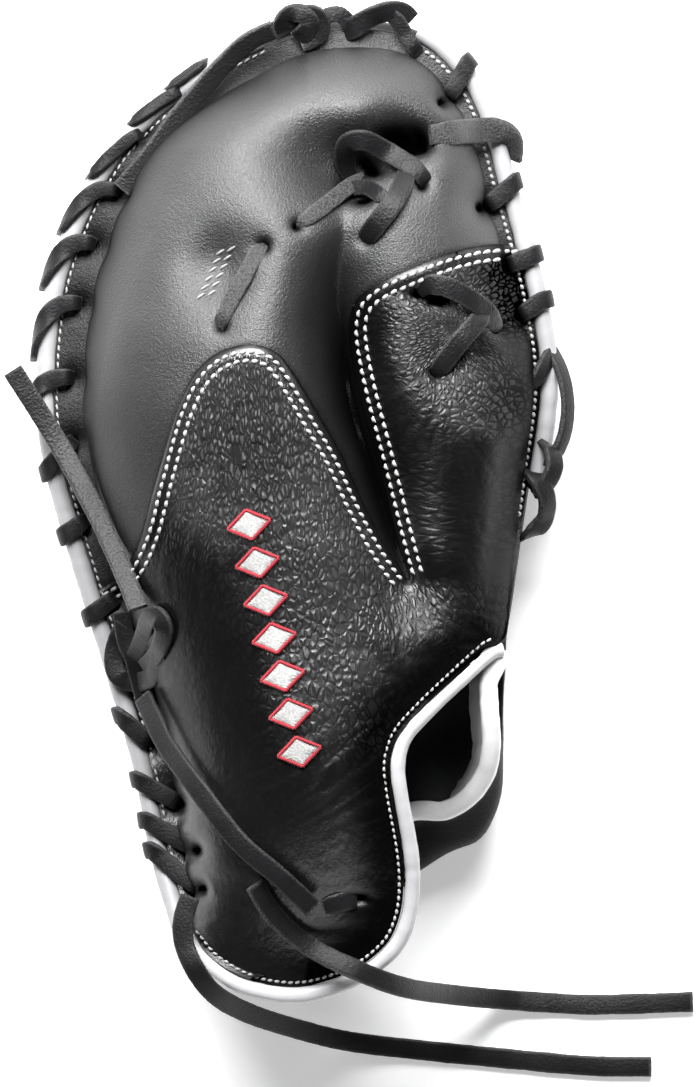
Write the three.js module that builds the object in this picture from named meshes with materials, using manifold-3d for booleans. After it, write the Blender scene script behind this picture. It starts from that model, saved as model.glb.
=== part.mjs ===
// First baseman mitt lying palm down. Millimetres, +Z up, fingertips toward +Y, thumb toward +X.
import * as THREE from "three";
import Module from "manifold-3d";
import { mergeVertices } from "three/addons/utils/BufferGeometryUtils.js";

const solids = await Module();
solids.setup();

// Main sizes. Tables below hold thousandths of these.
const MITT_LENGTH = 305; // heel to tip, along Y
const MITT_WIDTH = 166; // piping to piping, along X
const MITT_HEIGHT = 92; // floor to the top of the finger lobe

const SHELL = 2.2; // smooth leather with its lining
const PANEL = 1.8; // tumbled leather laid over the shell
const GAP = 0.3; // air kept between neighbouring pieces
const SEAM_GAP = 0.3; // above the palm's seam edge
const FLANGE_WIDTH = 9; // flat sewn band inside the piping
const FLANGE_RISE = 1.2; // height gained across the flange
const ROLL_OUT = 8; // how far the padded palm roll can stand out
const ROUND = 2.4; // roundness of the dome where it meets the flange
const PIPING = 4.8; // diameter of the welt
const PIPING_OUT = 2.8; // welt centre outside the seam line
const PIPING_UP = 1; // welt centre above the seam
const BINDING_WIDE = 5.6; // wrist binding seen from above
const BINDING_HIGH = 6.4; // wrist binding seen from the side
const LACE_WIDTH = 6.3;
const LACE_THICK = 2.2;
const LACE_ARCH = 5.6; // height of a stitch of lace over the seam

const FINGER_STEPS = 11; // rows between heel fan and tip fan
const FAN_STEPS = 4; // rows of each fan
const PALM_FAN_STEPS = 5; // the same on the palm

// Seam line at the inner edge of the piping, from the heel up the finger side, over the tip, down the thumb side.
// Columns: across, along, height, flange, roll.
const SEAM = [
  [291, 71, 430, 300, 200],
  [250, 146, 350, 600, 300],
  [219, 232, 310, 900, 450],
  [165, 333, 293, 1000, 500],
  [107, 433, 293, 1000, 500],
  [50, 544, 293, 1000, 500],
  [39, 625, 293, 1000, 500],
  [65, 731, 293, 1000, 500],
  [154, 837, 293, 900, 500],
  [294, 912, 293, 800, 500],
  [472, 965, 293, 700, 500],
  [615, 975, 293, 600, 500],
  [726, 958, 293, 500, 600],
  [813, 904, 293, 450, 800],
  [865, 811, 293, 450, 900],
  [917, 706, 293, 450, 900],
  [939, 615, 293, 450, 900],
  [913, 509, 293, 400, 700],
  [898, 450, 340, 350, 500],
  [884, 398, 450, 300, 350],
  [874, 362, 600, 200, 200],
];

// Free edge of the back flap, from the thumb side round the heel to the finger side.
// Columns: across, along, height.
const FLAP_EDGE = [
  [837, 353, 650],
  [781, 326, 700],
  [717, 293, 745],
  [672, 265, 760],
  [657, 235, 760],
  [663, 202, 745],
  [680, 151, 690],
  [685, 116, 650],
  [678, 81, 620],
  [652, 52, 590],
  [587, 25, 560],
  [494, 10, 545],
  [402, 17, 530],
  [337, 38, 500],
  [302, 61, 455],
];

// Free edge of the palm at the wrist mouth, same way round.
// Columns: across, along, height, roll.
const PALM_EDGE = [
  [872, 330, 620, 150],
  [869, 286, 600, 150],
  [867, 248, 540, 200],
  [856, 220, 470, 400],
  [820, 192, 380, 900],
  [769, 176, 310, 1500],
  [700, 174, 280, 1900],
  [606, 146, 270, 1900],
  [476, 111, 270, 1900],
  [365, 84, 300, 1200],
];

// Middle line of the back, heel to tip, in the slot between the lobes. Columns: across, along.
const BACK_SPINE = [
  [528, 136],
  [596, 257],
  [652, 348],
  [683, 421],
  [657, 479],
  [624, 539],
  [596, 590],
  [574, 655],
  [569, 716],
  [569, 852],
];

// Middle line of the palm, heel to tip. Columns: across, along.
const PALM_SPINE = [
  [550, 257],
  [504, 398],
  [487, 600],
  [494, 852],
];

// Crown of the back. Columns: along, then across and height of the finger crest, the slot and the thumb crest.
const CROWN = [
  [5, 494, 609, 624, 587, 698, 565],
  [116, 485, 761, 643, 717, 717, 696],
  [197, 467, 870, 661, 804, 735, 783],
  [277, 448, 935, 680, 848, 754, 815],
  [358, 435, 967, 698, 826, 772, 826],
  [421, 424, 989, 691, 720, 781, 826],
  [469, 411, 1000, 661, 590, 776, 826],
  [529, 398, 1000, 628, 543, 772, 826],
  [590, 383, 1000, 591, 533, 763, 826],
  [655, 374, 978, 574, 543, 754, 826],
  [711, 374, 946, 565, 652, 754, 815],
  [771, 383, 913, 578, 760, 754, 804],
  [842, 420, 848, 587, 760, 735, 760],
  [902, 457, 760, 587, 739, 717, 696],
  [973, 494, 565, 578, 565, 680, 543],
];

// Dents where laces pull the leather in. Columns: across, along, radius (of the width), depth (of the height).
const DENTS = [
  [550, 842, 60, 60],
  [356, 741, 60, 50],
  [680, 862, 60, 90],
  [846, 796, 50, 60],
  [756, 640, 50, 50],
];

// Palm along its middle line. Columns: along, ball pocket ceiling, floor of the hand cavity.
const PALM_RISE = [
  [100, 0, 250],
  [257, 0, 260],
  [330, 130, 320],
  [398, 260, 400],
  [500, 350, 465],
  [600, 360, 475],
  [740, 330, 450],
  [852, 240, 380],
  [973, 100, 300],
];

// Underside of the palm from the middle line out. Columns: place from middle to seam, share of the pocket ceiling,
// stand-out share of the roll, height share of the seam.
const UNDERSIDE = [
  [0, 1000, 0, 0],
  [200, 960, 0, 0],
  [400, 800, 0, 0],
  [580, 400, 0, 0],
  [720, 0, 0, 0],
  [850, 0, 0, 0],
  [930, 0, 300, 30],
  [1000, 0, 800, 180],
  [1000, 0, 1000, 430],
  [1000, 0, 850, 740],
  [1000, 0, 120, 880],
];
// Place of the matching points of the palm's upper side, from the middle line to the seam.
const UPPERSIDE = [0, 200, 400, 580, 720, 800, 860, 910, 950, 980, 1000];

// Place of the columns of the back, from the middle line to the crease, then across the flange.
const BACK_COLUMNS = [0, 130, 300, 480, 650, 800, 900, 965, 1000, 2000];

// Edge of the tumbled panel where it shows: round the finger lobe, to the slot's end, round the thumb lobe.
// Columns: across, along.
const PANEL_EDGE = [
  [119, 408],
  [170, 428],
  [204, 464],
  [226, 509],
  [246, 549],
  [269, 590],
  [302, 625],
  [346, 646],
  [402, 654],
  [450, 646],
  [485, 622],
  [528, 582],
  [569, 544],
  [609, 497],
  [652, 453],
  [693, 421],
  [672, 464],
  [652, 509],
  [631, 554],
  [611, 595],
  [593, 640],
  [587, 675],
  [600, 699],
  [639, 717],
  [698, 732],
  [772, 747],
  [846, 756],
  [920, 758],
];

// Stretches of an edge that carry piping or binding. Columns: from across, from along, to across, to along, steps.
const LEFT_WELT = [291, 71, 424, 958, 38];
const THUMB_WELT = [707, 968, 920, 529, 17];
const FLAP_BAND = [860, 357, 296, 66, 30];
const PALM_BAND = [872, 318, 606, 146, 14];

// Stitches of rawhide over the piping. Columns: hole across, hole along, outer point across, outer point along.
const EDGE_LACES = [
  [319, 943, 254, 917],
  [272, 912, 185, 882],
  [198, 869, 109, 829],
  [157, 811, 54, 776],
  [109, 758, 19, 721],
  [83, 698, -2, 650],
  [69, 623, 4, 605],
  [72, 559, 6, 519],
  [96, 479, 31, 454],
  [152, 401, 81, 373],
  [217, 252, 156, 282],
  [272, 192, 189, 217],
  [300, 146, 207, 176],
  [309, 106, 217, 146],
];
const THUMB_LACES = [
  [769, 905, 809, 943],
  [841, 796, 898, 822],
  [880, 736, 948, 751],
  [902, 685, 943, 701],
];
const TOP_LACES = [
  [565, 955, 563, 990],
  [633, 955, 639, 998],
  [698, 940, 726, 978],
];

// Strands that show on the back. Each row of a strand: across, along, height.
const BACK_LACES = [
  // From the middle of the crown toward the void.
  [
    [500, 782, 850],
    [515, 790, 880],
    [546, 798, 860],
    [575, 808, 800],
    [592, 813, 755],
  ],
  // Long strand bridging the void.
  [
    [566, 868, 720],
    [582, 862, 775],
    [643, 847, 780],
    [705, 829, 745],
    [722, 822, 690],
  ],
  // Strand going down from the bridge.
  [
    [676, 812, 730],
    [668, 805, 775],
    [652, 793, 800],
    [634, 775, 798],
    [620, 762, 755],
  ],
  // Strand beside the eyelet rows.
  [
    [342, 676, 890],
    [352, 684, 930],
    [383, 713, 925],
    [412, 740, 912],
    [424, 749, 870],
  ],
  // Upper strand of the thumb lobe.
  [
    [712, 711, 780],
    [728, 706, 828],
    [783, 696, 795],
    [838, 682, 720],
    [854, 676, 660],
  ],
  // Lower strand of the thumb lobe.
  [
    [804, 675, 735],
    [797, 670, 772],
    [781, 655, 778],
    [762, 636, 795],
    [753, 627, 760],
  ],
];

// Broad strand on the thumb side that wraps the edge. Columns: across, along, height.
const STRAP_WIDTH = 9.5;
const THUMB_STRAP = [
  [728, 866, 650],
  [760, 872, 620],
  [800, 878, 540],
  [850, 880, 430],
  [893, 868, 400],
  [918, 855, 330],
  [925, 852, 220],
];

// Lace that stands off the thumb side as a loop. Columns: across, along, height.
const THUMB_LOOP = [
  [968, 672, 300],
  [990, 640, 330],
  [1006, 600, 340],
  [1004, 560, 330],
  [985, 534, 300],
];

// Short dark strand that ends in a hole of the lower back. Columns: across, along, height.
const HEEL_STRAND = [
  [540, 91, 745],
  [556, 93, 750],
  [576, 96, 742],
  [596, 98, 715],
];

// Knots. Columns: across, along, height, then width, length and height in millimetres and the turn in degrees.
const TOP_KNOT = [494, 976, 400, 13, 11, 9, 20];
const SIDE_KNOT = [190, 345, 520, 12, 16, 10, 15];
const THUMB_KNOT = [955, 512, 300, 8, 24, 12, 4];

// Routes of the loose tails, from the knot or hole to the cut tip. Columns: across, along, height.
const TOP_TAIL = [
  [446, 974, 430],
  [400, 962, 420],
  [356, 941, 400],
  [309, 912, 395],
  [263, 882, 395],
  [217, 847, 395],
  [163, 813, 385],
];
const SIDE_TAIL = [
  [196, 390, 700],
  [170, 425, 640],
  [124, 479, 540],
  [80, 524, 460],
  [31, 570, 420],
  [-39, 630, 430],
];
const LOWER_TAIL = [
  [204, 300, 500],
  [222, 280, 560],
  [250, 250, 640],
  [309, 207, 760],
  [383, 156, 815],
  [457, 121, 815],
  [519, 89, 770],
];
const HEEL_TAIL_UPPER = [
  [411, 113, 775],
  [448, 81, 735],
  [513, 50, 690],
  [606, 25, 700],
  [690, 8, 590],
  [780, -2, 260],
  [865, -8, 60],
  [960, -12, 16],
  [1050, -14, 14],
  [1228, -11, 14],
];
const HEEL_TAIL_LOWER = [
  [292, 100, 610],
  [279, 78, 615],
  [281, 52, 620],
  [303, 25, 630],
  [340, 0, 570],
  [402, -20, 390],
  [494, -38, 180],
  [587, -51, 60],
  [717, -60, 14],
  [865, -68, 14],
  [1031, -76, 14],
  [1150, -77, 14],
];

const lengthOf = (share) => (share / 1000) * MITT_LENGTH;
const widthOf = (share) => (share / 1000) * MITT_WIDTH;
const heightOf = (share) => (share / 1000) * MITT_HEIGHT;
const mix = (a, b, t) => a + (b - a) * t;

// Smooth curve through the rows of a table, at a place counted in rows.
function rowAt(rows, place, closed) {
  const n = rows.length;
  const i = closed ? Math.floor(place) : Math.min(Math.floor(place), n - 2);
  const f = place - i;
  const pick = (k) => rows[closed ? (k + 2 * n) % n : Math.max(0, Math.min(n - 1, k))];
  const [a, b, c, d] = [i - 1, i, i + 1, i + 2].map(pick);
  return b.map(
    (v, k) =>
      0.5 *
      (2 * v +
        (c[k] - a[k]) * f +
        (2 * a[k] - 5 * v + 4 * c[k] - d[k]) * f * f +
        (3 * v - a[k] - 3 * c[k] + d[k]) * f ** 3),
  );
}

// Rows of a table read at a value of its first column, smoothly.
function readAt(rows, value) {
  const last = rows.length - 1;
  let i = 0;
  while (i < last - 1 && value > rows[i + 1][0]) i += 1;
  const f = Math.max(0, Math.min(1, (value - rows[i][0]) / (rows[i + 1][0] - rows[i][0])));
  return rowAt(rows, i + f, false);
}

// A closed outline as fine samples in millimetres: x, y, seam height, flange, roll, and 1 where the edge is free.
function outline(edgeRows) {
  const rows = [
    ...SEAM.map((r) => [...r, 0]),
    ...edgeRows.map((r) => [r[0], r[1], r[2], 0, r[3] ?? 0, 1]),
  ];
  const samples = [];
  for (let i = 0; i < rows.length * 8; i += 1) {
    const r = rowAt(rows, i / 8, true);
    samples.push({
      x: widthOf(r[0]),
      y: lengthOf(r[1]),
      z: heightOf(r[2]),
      flange: Math.max(0, r[3] / 1000),
      roll: Math.max(0, r[4] / 1000),
      free: Math.max(0, Math.min(1, r[5])),
    });
  }
  return samples;
}

function blend(a, b, t) {
  const made = {};
  for (const key of Object.keys(a)) made[key] = mix(a[key], b[key], t);
  return made;
}

// Part of an outline with its running length, read by length or by height on the plan.
class Chain {
  constructor(samples) {
    this.samples = samples;
    this.run = [0];
    for (let i = 1; i < samples.length; i += 1) {
      const a = samples[i - 1];
      const b = samples[i];
      this.run.push(this.run[i - 1] + Math.hypot(b.x - a.x, b.y - a.y));
    }
    this.length = this.run[this.run.length - 1];
  }
  at(run) {
    let i = 1;
    while (i < this.run.length - 1 && this.run[i] < run) i += 1;
    const t = (run - this.run[i - 1]) / (this.run[i] - this.run[i - 1]);
    return blend(this.samples[i - 1], this.samples[i], Math.max(0, Math.min(1, t)));
  }
  runAtY(y) {
    for (let i = this.samples.length - 1; i > 0; i -= 1) {
      const a = this.samples[i - 1];
      const b = this.samples[i];
      if (a.y <= y && b.y > y) return mix(this.run[i - 1], this.run[i], (y - a.y) / (b.y - a.y));
    }
    throw new Error("no crossing");
  }
}

function nearest(samples, x, y) {
  let best = 0;
  samples.forEach((s, i) => {
    const b = samples[best];
    if (Math.hypot(s.x - x, s.y - y) < Math.hypot(b.x - x, b.y - y)) best = i;
  });
  return best;
}

// Rows from heel to tip: a left edge point, a right edge point and the middle point between them.
function stations(samples, low, spineRows, fanSteps) {
  const n = samples.length;
  let tip = 0;
  samples.forEach((s, i) => {
    if (s.y > samples[tip].y) tip = i;
  });
  const left = [];
  for (let i = low; i !== tip; i = (i + 1) % n) left.push(samples[i]);
  const right = [];
  for (let i = low; i !== tip; i = (i + n - 1) % n) right.push(samples[i]);
  left.push(samples[tip]);
  right.push(samples[tip]);
  const chains = [new Chain(left), new Chain(right)];
  const heel = spineRows[0];
  const top = spineRows[spineRows.length - 1];
  const start = chains.map((c) => c.runAtY(lengthOf(heel[1])));
  const end = chains.map((c) => c.runAtY(lengthOf(top[1])));
  const made = [];
  const add = (runs, middle) =>
    made.push({
      edges: chains.map((c, k) => c.at(runs[k])),
      middle: { x: widthOf(middle[0]), y: lengthOf(middle[1]) },
    });
  for (let i = 0; i < fanSteps; i += 1) {
    const t = i / fanSteps;
    add(start.map((s) => s * t), heel);
  }
  for (let i = 0; i <= FINGER_STEPS; i += 1) {
    const along = mix(heel[1], top[1], i / FINGER_STEPS);
    const middle = readAt(spineRows.map((r) => [r[1], r[0]]), along);
    add(chains.map((c) => c.runAtY(lengthOf(along))), [middle[1], along]);
  }
  for (let i = 1; i <= fanSteps; i += 1) {
    const t = i / fanSteps;
    add(end.map((s, k) => mix(s, chains[k].length, t)), top);
  }
  return made;
}

// Height of the crown of the back over a plan point.
function crown(x, y) {
  const r = readAt(CROWN, (y / MITT_LENGTH) * 1000);
  const [fingerX, slotX, thumbX] = [widthOf(r[1]), widthOf(r[3]), widthOf(r[5])];
  const crest = x < slotX ? heightOf(r[2]) : heightOf(r[6]);
  const reach = x < slotX ? slotX - fingerX : thumbX - slotX;
  const t = Math.min(1, Math.abs(x - slotX) / reach);
  return mix(heightOf(r[4]), crest, 1 - (1 - t) ** 3);
}

function dent(x, y) {
  let sum = 0;
  for (const [across, along, radius, depth] of DENTS) {
    const d = Math.hypot(x - widthOf(across), y - lengthOf(along)) / widthOf(radius);
    sum += heightOf(depth) * Math.exp(-d * d);
  }
  return sum;
}

function backPoint(middle, edge, column) {
  const ray = Math.hypot(edge.x - middle.x, edge.y - middle.y);
  const band = Math.min(0.35, (edge.flange * FLANGE_WIDTH) / ray);
  const c = column / 1000;
  const q = c <= 1 ? c * (1 - band) : 1 - band + (c - 1) * band;
  const x = mix(middle.x, edge.x, q);
  const y = mix(middle.y, edge.y, q);
  const rim = edge.z + SEAM_GAP + SHELL;
  const crease = rim + FLANGE_RISE * edge.flange;
  if (c > 1) return new THREE.Vector3(x, y, mix(crease, rim, c - 1));
  const round = (1 - c ** ROUND) ** (1 / ROUND);
  const lift = mix(round, 1 - c * c, edge.free);
  return new THREE.Vector3(x, y, crease + (crown(x, y) - dent(x, y) - crease) * lift);
}

// Rows of points to one sheet: shared points welded, collapsed triangles left out. Faces look up.
function sheet(grid) {
  const index = new Map();
  const points = [];
  const ids = grid.map((row) =>
    row.map((p) => {
      const key = [p.x, p.y, p.z].map((v) => v.toFixed(3)).join();
      if (!index.has(key)) {
        index.set(key, points.length);
        points.push(p);
      }
      return index.get(key);
    }),
  );
  const faces = [];
  const add = (a, b, c) => {
    if (a !== b && b !== c && a !== c) faces.push([a, b, c]);
  };
  for (let i = 0; i + 1 < ids.length; i += 1)
    for (let j = 0; j + 1 < ids[i].length; j += 1) {
      const [a, b, c, d] = [ids[i][j], ids[i][j + 1], ids[i + 1][j + 1], ids[i + 1][j]];
      if (j < (ids[i].length - 1) / 2) {
        add(a, b, c);
        add(a, c, d);
      } else {
        add(a, b, d);
        add(b, c, d);
      }
    }
  return { points, faces, ids };
}

function normalsOf(made) {
  const normals = made.points.map(() => new THREE.Vector3());
  for (const f of made.faces) {
    const [a, b, c] = f.map((i) => made.points[i]);
    const n = b.clone().sub(a).cross(c.clone().sub(a));
    f.forEach((i) => normals[i].add(n));
  }
  return normals.map((n) => n.normalize());
}

function geometryOf(points, faces) {
  const flat = [];
  faces.forEach((f) => f.forEach((i) => flat.push(points[i].x, points[i].y, points[i].z)));
  const g = new THREE.BufferGeometry();
  g.setAttribute("position", new THREE.Float32BufferAttribute(flat, 3));
  return g;
}

// Closed solid between two copies of a sheet.
function slab(made, upper, lower) {
  const n = made.points.length;
  const faces = [];
  const edges = new Map();
  for (const f of made.faces) {
    faces.push(f);
    faces.push([f[2] + n, f[1] + n, f[0] + n]);
    f.forEach((a, k) => edges.set(a + "_" + f[(k + 1) % 3], [a, f[(k + 1) % 3]]));
  }
  for (const [a, b] of edges.values())
    if (!edges.has(b + "_" + a)) {
      faces.push([a, a + n, b + n]);
      faces.push([a, b + n, b]);
    }
  return geometryOf([...upper, ...lower], faces);
}

function solidOf(geometry) {
  const merged = mergeVertices(geometry, 1e-4);
  return new solids.Manifold(
    new solids.Mesh({
      numProp: 3,
      vertProperties: merged.attributes.position.array,
      triVerts: new Uint32Array(merged.index.array),
    }),
  );
}

function geometryFrom(solid) {
  const m = solid.getMesh();
  const g = new THREE.BufferGeometry();
  g.setAttribute("position", new THREE.BufferAttribute(new Float32Array(m.vertProperties), 3));
  g.setIndex(new THREE.BufferAttribute(new Uint32Array(m.triVerts), 1));
  return g;
}

// Largest single body of a solid.
function mainBody(solid) {
  return solid.decompose().reduce((a, b) => (a.volume() > b.volume() ? a : b));
}

// Section shapes as shares of half width and half thickness.
const FLAT = [
  [1, 1],
  [-1, 1],
  [-1, -1],
  [1, -1],
];
const OVAL = [0, 1, 2, 3, 4, 5, 6, 7].map((k) => [
  Math.cos((k * Math.PI) / 4),
  Math.sin((k * Math.PI) / 4),
]);

// Sweep a section along a route. Its width stays level, or follows the given side.
function sweep(route, width, thick, section, steps, side) {
  const curve = new THREE.CatmullRomCurve3(route, false, "centripetal");
  const points = curve.getSpacedPoints(steps);
  const rings = points.map((p, i) => {
    const ahead = points[Math.min(i + 1, steps)];
    const behind = points[Math.max(i - 1, 0)];
    const t = ahead.clone().sub(behind).normalize();
    const w = side ? side.clone() : new THREE.Vector3(t.y, -t.x, 0).normalize();
    const u = w.clone().cross(t).normalize();
    return section.map(([a, b]) =>
      p.clone().addScaledVector(w, (a * width) / 2).addScaledVector(u, (b * thick) / 2),
    );
  });
  const m = section.length;
  const faces = [];
  for (let i = 0; i < steps; i += 1)
    for (let k = 0; k < m; k += 1) {
      const [a, b] = [i * m + k, i * m + ((k + 1) % m)];
      faces.push([a, b + m, b]);
      faces.push([a, a + m, b + m]);
    }
  for (let k = 1; k + 1 < m; k += 1) {
    faces.push([0, k, k + 1]);
    faces.push([steps * m, steps * m + k + 1, steps * m + k]);
  }
  const made = geometryOf(rings.flat(), faces);
  if (solidOf(made).volume() > 0) return made;
  return geometryOf(rings.flat(), faces.map((f) => [f[2], f[1], f[0]]));
}

const material = (color, roughness) => new THREE.MeshStandardMaterial({ color, roughness });
const SMOOTH = material(0x1c1c1e, 0.5);
const TUMBLED = material(0x202022, 0.6);
const PALM = material(0x171719, 0.55);
const PALE = material(0xe6e6e8, 0.5);
const LACE = material(0x3a3a3d, 0.75);

const mitt = new THREE.Group();
function place(name, geometry, look) {
  const mesh = new THREE.Mesh(geometry, look);
  mesh.name = name;
  mitt.add(mesh);
}

// Back: the shell with its lining, and the tumbled panel over it.
const backLoop = outline(FLAP_EDGE);
const palmLoop = outline(PALM_EDGE);
const backLow = backLoop.reduce((low, s, i) => (s.y < backLoop[low].y ? i : low), 0);
const palmLow = nearest(palmLoop, widthOf(420), lengthOf(96));
const backSheet = sheet(
  stations(backLoop, backLow, BACK_SPINE, FAN_STEPS).map(({ edges, middle }) => [
    ...BACK_COLUMNS.map((c) => backPoint(middle, edges[0], c)).reverse(),
    ...BACK_COLUMNS.slice(1).map((c) => backPoint(middle, edges[1], c)),
  ]),
);
const backNormals = normalsOf(backSheet);
const raised = (d) => backSheet.points.map((p, i) => p.clone().addScaledVector(backNormals[i], d));
let shell = solidOf(slab(backSheet, backSheet.points, raised(-SHELL)));
let panel = solidOf(slab(backSheet, raised(GAP + PANEL), raised(GAP)));

const panelPlan = [
  ...PANEL_EDGE.map(([a, b]) => [widthOf(a), lengthOf(b)]),
  [MITT_WIDTH * 1.2, lengthOf(758)],
  [MITT_WIDTH * 1.2, -MITT_LENGTH * 0.1],
  [-MITT_WIDTH * 0.2, -MITT_LENGTH * 0.1],
  [-MITT_WIDTH * 0.2, lengthOf(408)],
].reverse();
const panelPrism = new solids.CrossSection([panelPlan], "Positive").extrude(MITT_HEIGHT * 1.5);
panel = mainBody(panel.intersect(panelPrism));

// Palm: paired points of the underside and of the cavity floor.
function palmRow(middle, edge) {
  const ray = Math.hypot(edge.x - middle.x, edge.y - middle.y);
  const out = { x: (edge.x - middle.x) / ray, y: (edge.y - middle.y) / ray };
  const band = Math.min(0.35, (edge.flange * FLANGE_WIDTH) / ray);
  return UNDERSIDE.map(([c, pocket, stand, up], k) => {
    const rollOut = (stand / 1000) * edge.roll * ROLL_OUT;
    const x = mix(middle.x, edge.x, c / 1000) + out.x * rollOut;
    const y = mix(middle.y, edge.y, c / 1000) + out.y * rollOut;
    const rise = readAt(PALM_RISE, (middle.y / MITT_LENGTH) * 1000);
    const lower = new THREE.Vector3(x, y, (heightOf(rise[1]) * pocket) / 1000 + (edge.z * up) / 1000);
    const q = UPPERSIDE[k] / 1000;
    const d = Math.min(1, q / (1 - band));
    const level = mix(2.5, 10, Math.max(edge.free, Math.min(1, (edge.z - heightOf(300)) / heightOf(200))));
    const brim = edge.z - GAP;
    const z = brim + (heightOf(rise[2]) - brim) * (1 - d ** level);
    const upper = new THREE.Vector3(mix(middle.x, edge.x, q), mix(middle.y, edge.y, q), z);
    return { lower, upper };
  });
}
const palmRows = stations(palmLoop, palmLow, PALM_SPINE, PALM_FAN_STEPS).map(({ edges, middle }) => [
  ...palmRow(middle, edges[0]).reverse(),
  ...palmRow(middle, edges[1]).slice(1),
]);
const palmSheet = sheet(palmRows.map((row) => row.map((p) => p.lower)));
const palmUpper = [];
palmRows.forEach((row, i) =>
  row.forEach((p, j) => {
    palmUpper[palmSheet.ids[i][j]] ??= p.upper;
  }),
);
let palm = solidOf(slab(palmSheet, palmUpper, palmSheet.points));
const clear = solidOf(slab(backSheet, raised(GAP), raised(-SHELL - GAP)));
palm = mainBody(palm.subtract(clear).subtract(clear.translate([0, 0, -GAP])));

// A route beside an edge: offset outward on the plan and raised.
function beside(samples, [fromX, fromY, toX, toY, steps], out, up) {
  const n = samples.length;
  const picked = [];
  const first = nearest(samples, widthOf(fromX), lengthOf(fromY));
  const last = nearest(samples, widthOf(toX), lengthOf(toY));
  for (let i = first; i !== last; i = (i + 1) % n) picked.push(i);
  const points = picked.map((i) => {
    const s = samples[i];
    const a = samples[(i + n - 1) % n];
    const b = samples[(i + 1) % n];
    const run = Math.hypot(b.x - a.x, b.y - a.y);
    return new THREE.Vector3(s.x - ((b.y - a.y) / run) * out, s.y + ((b.x - a.x) / run) * out, s.z + up);
  });
  const curve = new THREE.CatmullRomCurve3(points, false, "centripetal");
  return curve.getSpacedPoints(steps);
}

// Pale bindings: each also has a slightly larger twin that clears its neighbours.
const bindings = [];
function bind(name, route, wide, high) {
  const steps = route.length - 1;
  const grown = sweep(route, wide + 2 * GAP, high + 2 * GAP, OVAL, steps);
  bindings.push({ name, body: solidOf(sweep(route, wide, high, OVAL, steps)), tool: solidOf(grown) });
}
bind("edge_binding", beside(backLoop, LEFT_WELT, PIPING_OUT, PIPING_UP), PIPING, PIPING);
bind("thumb_binding", beside(backLoop, THUMB_WELT, PIPING_OUT, PIPING_UP), PIPING, PIPING);
const flapRoute = beside(backLoop, FLAP_BAND, BINDING_WIDE / 2 + GAP, SHELL + PANEL / 2);
bind("wrist_binding_back", flapRoute, BINDING_WIDE, BINDING_HIGH);
const palmRoute = beside(palmLoop, PALM_BAND, -BINDING_WIDE / 2, BINDING_HIGH / 2 + GAP);
bind("wrist_binding_palm", palmRoute, BINDING_WIDE, BINDING_HIGH);

// Stitches of rawhide over the piping.
const cutters = [];
// Nearest seam point to a plan point, its outward direction and the distance outside it.
function rimAt(x, y) {
  const n = backLoop.length;
  const k = nearest(backLoop, x, y);
  const edge = backLoop[k];
  const [a, b] = [backLoop[(k + n - 1) % n], backLoop[(k + 1) % n]];
  const run = Math.hypot(b.x - a.x, b.y - a.y);
  const out = new THREE.Vector3(-(b.y - a.y) / run, (b.x - a.x) / run, 0);
  return { edge, out, outside: (x - edge.x) * out.x + (y - edge.y) * out.y };
}
function overPiping([holeX, holeY, outX, outY]) {
  const hole = new THREE.Vector3(widthOf(holeX), lengthOf(holeY), 0);
  const { edge, out } = rimAt(widthOf(outX), lengthOf(outY));
  const welted = PIPING_OUT + PIPING / 2 + 2 * GAP + LACE_THICK / 2;
  const reach = Math.max(welted, edge.roll * ROLL_OUT * 0.95 + 1.6);
  const end = new THREE.Vector3(edge.x, edge.y, 0).addScaledVector(out, reach);
  const at = (u, z) => {
    let p = hole;
    for (let t = 0; t <= 1 && rimAt(p.x, p.y).outside < u; t += 0.01) p = hole.clone().lerp(end, t);
    return new THREE.Vector3(p.x, p.y, rimAt(p.x, p.y).edge.z + z);
  };
  const top = SEAM_GAP + SHELL + FLANGE_RISE;
  const ahead = end.clone().sub(hole).normalize();
  const inner = hole.clone().addScaledVector(ahead, 2.4);
  const route = [
    new THREE.Vector3(hole.x, hole.y, rimAt(hole.x, hole.y).edge.z + top + 1.5),
    new THREE.Vector3(inner.x, inner.y, rimAt(inner.x, inner.y).edge.z + top + 1.9),
    at(0.36 * PIPING_OUT, LACE_ARCH),
    at(1.5 * PIPING_OUT, LACE_ARCH),
    at(reach - 0.36 * LACE_THICK, 0.64 * LACE_ARCH),
    at(reach, -0.2 * LACE_THICK),
    at(reach, -1.07 * LACE_ARCH),
  ];
  const side = new THREE.Vector3(-out.y, out.x, 0);
  const slant = Math.min(1.35, 1 / Math.max(0.1, Math.abs(ahead.dot(out))));
  const wide = LACE_WIDTH * slant;
  cutters.push(sweep(route, wide + 2 * GAP, LACE_THICK + 2 * GAP, FLAT, 7, side));
  return sweep(route, wide, LACE_THICK, FLAT, 7, side);
}
EDGE_LACES.forEach((row, i) => place("edge_lace_" + (i + 1), overPiping(row), LACE));
THUMB_LACES.forEach((row, i) => place("thumb_lace_" + (i + 1), overPiping(row), LACE));
TOP_LACES.forEach((row, i) => place("top_lace_" + (i + 1), overPiping(row), LACE));

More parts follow.
